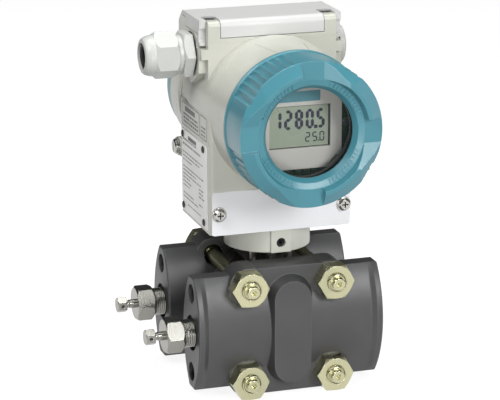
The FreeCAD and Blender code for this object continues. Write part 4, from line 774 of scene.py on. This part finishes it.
# %% Cap relief
cap_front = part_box("front_cap")[0][1]
relief = bmesh.new()
marks, mark_spacing = 11, 4.6
mark_proud, mark_sunk = 0.5 * MM, 0.1 * MM
mark_inner, mark_outer = 24.75 * MM, 26.75 * MM
slope_foot, slope_head = 4.46 * MM, 3.84 * MM
for quarter in range(4):
    for mark in range(marks):
        angle = math.radians(90 * quarter + 45 + (mark - marks // 2) * mark_spacing)
        out = Vector((math.sin(angle), 0, math.cos(angle)))
        across = Vector((math.cos(angle), 0, -math.sin(angle)))
        foot = Vector((swivel_x, cap_front + slope_foot, drum_z)) + out * mark_inner
        head_end = Vector((swivel_x, cap_front + slope_head, drum_z)) + out * mark_outer
        thick = 0.3 * MM if mark % 3 else 0.55 * MM
        low_corners = [foot + across * thick, foot - across * thick, head_end - across * thick,
                       head_end + across * thick]
        top = [relief.verts.new(c + Vector((0, -mark_proud, 0))) for c in low_corners]
        bottom = [relief.verts.new(c + Vector((0, mark_sunk, 0))) for c in low_corners]
        relief.faces.new(top)
        relief.faces.new(bottom)
        for i in range(4):
            j = (i + 1) % 4
            relief.faces.new((top[i], top[j], bottom[j], bottom[i]))
finish_piece("front_cap_relief", relief, cap_paint, "front_cap_body")

# %% [markdown]
# ## Floor and light
# The floor and the world stay pale. A plain floor under soft lamps is a little grey, so the camera
# sees a touch of extra brightness in it through Light Path, and mirrors and glass see the same. The
# object gets no more light from that. The key lamp stands in front, a little above and to the right.
# A second lamp shines down from the left, a low one in front lights the upright plates under the
# window cap, a weak one fills from the right, and one above keeps the top faces clean.

# %% Floor
floor_grey, floor_lift = 0.25, 0.88
floor_half_size = 3.0
floor_drop = 0.0002
floor_z = cad_low[2]
floor_builder = bmesh.new()
bmesh.ops.create_grid(floor_builder, x_segments=1, y_segments=1, size=floor_half_size)
floor_mesh = bpy.data.meshes.new("studio_floor")
floor_builder.to_mesh(floor_mesh)
floor_builder.free()
floor = bpy.data.objects.new("studio_floor", floor_mesh)
floor.location = (0, 0, floor_z - floor_drop)
bpy.context.scene.collection.objects.link(floor)
floor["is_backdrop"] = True
floor_finish = bpy.data.materials.new("studio_floor_pale")
floor_finish.use_nodes = True
floor_tree = floor_finish.node_tree
floor_tree.nodes.clear()
matt = floor_tree.nodes.new("ShaderNodeBsdfDiffuse")
matt.inputs["Color"].default_value = (floor_grey, floor_grey, floor_grey, 1.0)
lift = floor_tree.nodes.new("ShaderNodeEmission")
lift.inputs["Color"].default_value = (1.0, 1.0, 1.0, 1.0)
seen = floor_tree.nodes.new("ShaderNodeLightPath")
either = floor_tree.nodes.new("ShaderNodeMath")
either.operation = "MAXIMUM"
also = floor_tree.nodes.new("ShaderNodeMath")
also.operation = "MAXIMUM"
amount = floor_tree.nodes.new("ShaderNodeMath")
amount.operation = "MULTIPLY"
amount.inputs[1].default_value = floor_lift
both = floor_tree.nodes.new("ShaderNodeAddShader")
surface = floor_tree.nodes.new("ShaderNodeOutputMaterial")
floor_tree.links.new(seen.outputs["Is Camera Ray"], either.inputs[0])
floor_tree.links.new(seen.outputs["Is Glossy Ray"], either.inputs[1])
floor_tree.links.new(either.outputs["Value"], also.inputs[0])
floor_tree.links.new(seen.outputs["Is Transmission Ray"], also.inputs[1])
floor_tree.links.new(also.outputs["Value"], amount.inputs[0])
floor_tree.links.new(amount.outputs["Value"], lift.inputs["Strength"])
floor_tree.links.new(matt.outputs["BSDF"], both.inputs[0])
floor_tree.links.new(lift.outputs["Emission"], both.inputs[1])
floor_tree.links.new(both.outputs["Shader"], surface.inputs["Surface"])
floor.data.materials.append(floor_finish)
print("floor at", round(floor_z / MM, 1), "mm")

# %% World
world_fill, world_seen = 0.05, 1.0
world = bpy.data.worlds.new("studio_world")
bpy.context.scene.world = world
world.use_nodes = True
world_tree = world.node_tree
world_tree.nodes.clear()
sky = world_tree.nodes.new("ShaderNodeBackground")
sky.inputs["Color"].default_value = (1.0, 1.0, 1.0, 1.0)
path = world_tree.nodes.new("ShaderNodeLightPath")
any_view = world_tree.nodes.new("ShaderNodeMath")
any_view.operation = "MAXIMUM"
level = world_tree.nodes.new("ShaderNodeMapRange")
level.inputs["To Min"].default_value = world_fill
level.inputs["To Max"].default_value = world_seen
world_out = world_tree.nodes.new("ShaderNodeOutputWorld")
world_tree.links.new(path.outputs["Is Camera Ray"], any_view.inputs[0])
world_tree.links.new(path.outputs["Is Transmission Ray"], any_view.inputs[1])
world_tree.links.new(any_view.outputs["Value"], level.inputs["Value"])
world_tree.links.new(level.outputs["Result"], sky.inputs["Strength"])
world_tree.links.new(sky.outputs["Background"], world_out.inputs["Surface"])

# %% Lamps
def softbox(name, position, target, width, height, watts):
    data = bpy.data.lights.new(name, "AREA")
    data.shape = "RECTANGLE"
    data.size = width
    data.size_y = height
    data.energy = watts
    lamp = bpy.data.objects.new(name, data)
    lamp.location = position
    aim = Vector(target) - Vector(position)
    lamp.rotation_euler = aim.to_track_quat("-Z", "Y").to_euler()
    bpy.context.scene.collection.objects.link(lamp)
    return lamp


centre = (swivel_x, 0.0, 0.06)
softbox("key_softbox", (0.34, -1.26, 0.62), centre, 0.5, 0.5, 11.0)
softbox("left_softbox", (-0.75, -0.35, 1.0), centre, 0.6, 0.6, 7.5)
softbox("front_softbox", (-0.35, -1.25, 0.02), centre, 0.5, 0.35, 7.5)
softbox("side_softbox", (1.2, -0.3, 0.3), centre, 0.5, 0.9, 2.0)
softbox("top_softbox", (0.0, 0.15, 1.2), centre, 0.8, 0.5, 8.5)
print("lamps set")

# %% [markdown]
# ## Sizes
# The last cell prints how far the dressed model reaches beyond the solids on each side, in
# millimetres.

# %% Print the growth
seen_low, seen_high = [[float(v) for v in corner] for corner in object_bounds()]
growth = [round((a - b) / MM, 2) for a, b in zip(cad_low + seen_high, seen_low + cad_high)]
print("grown by mm:", growth)
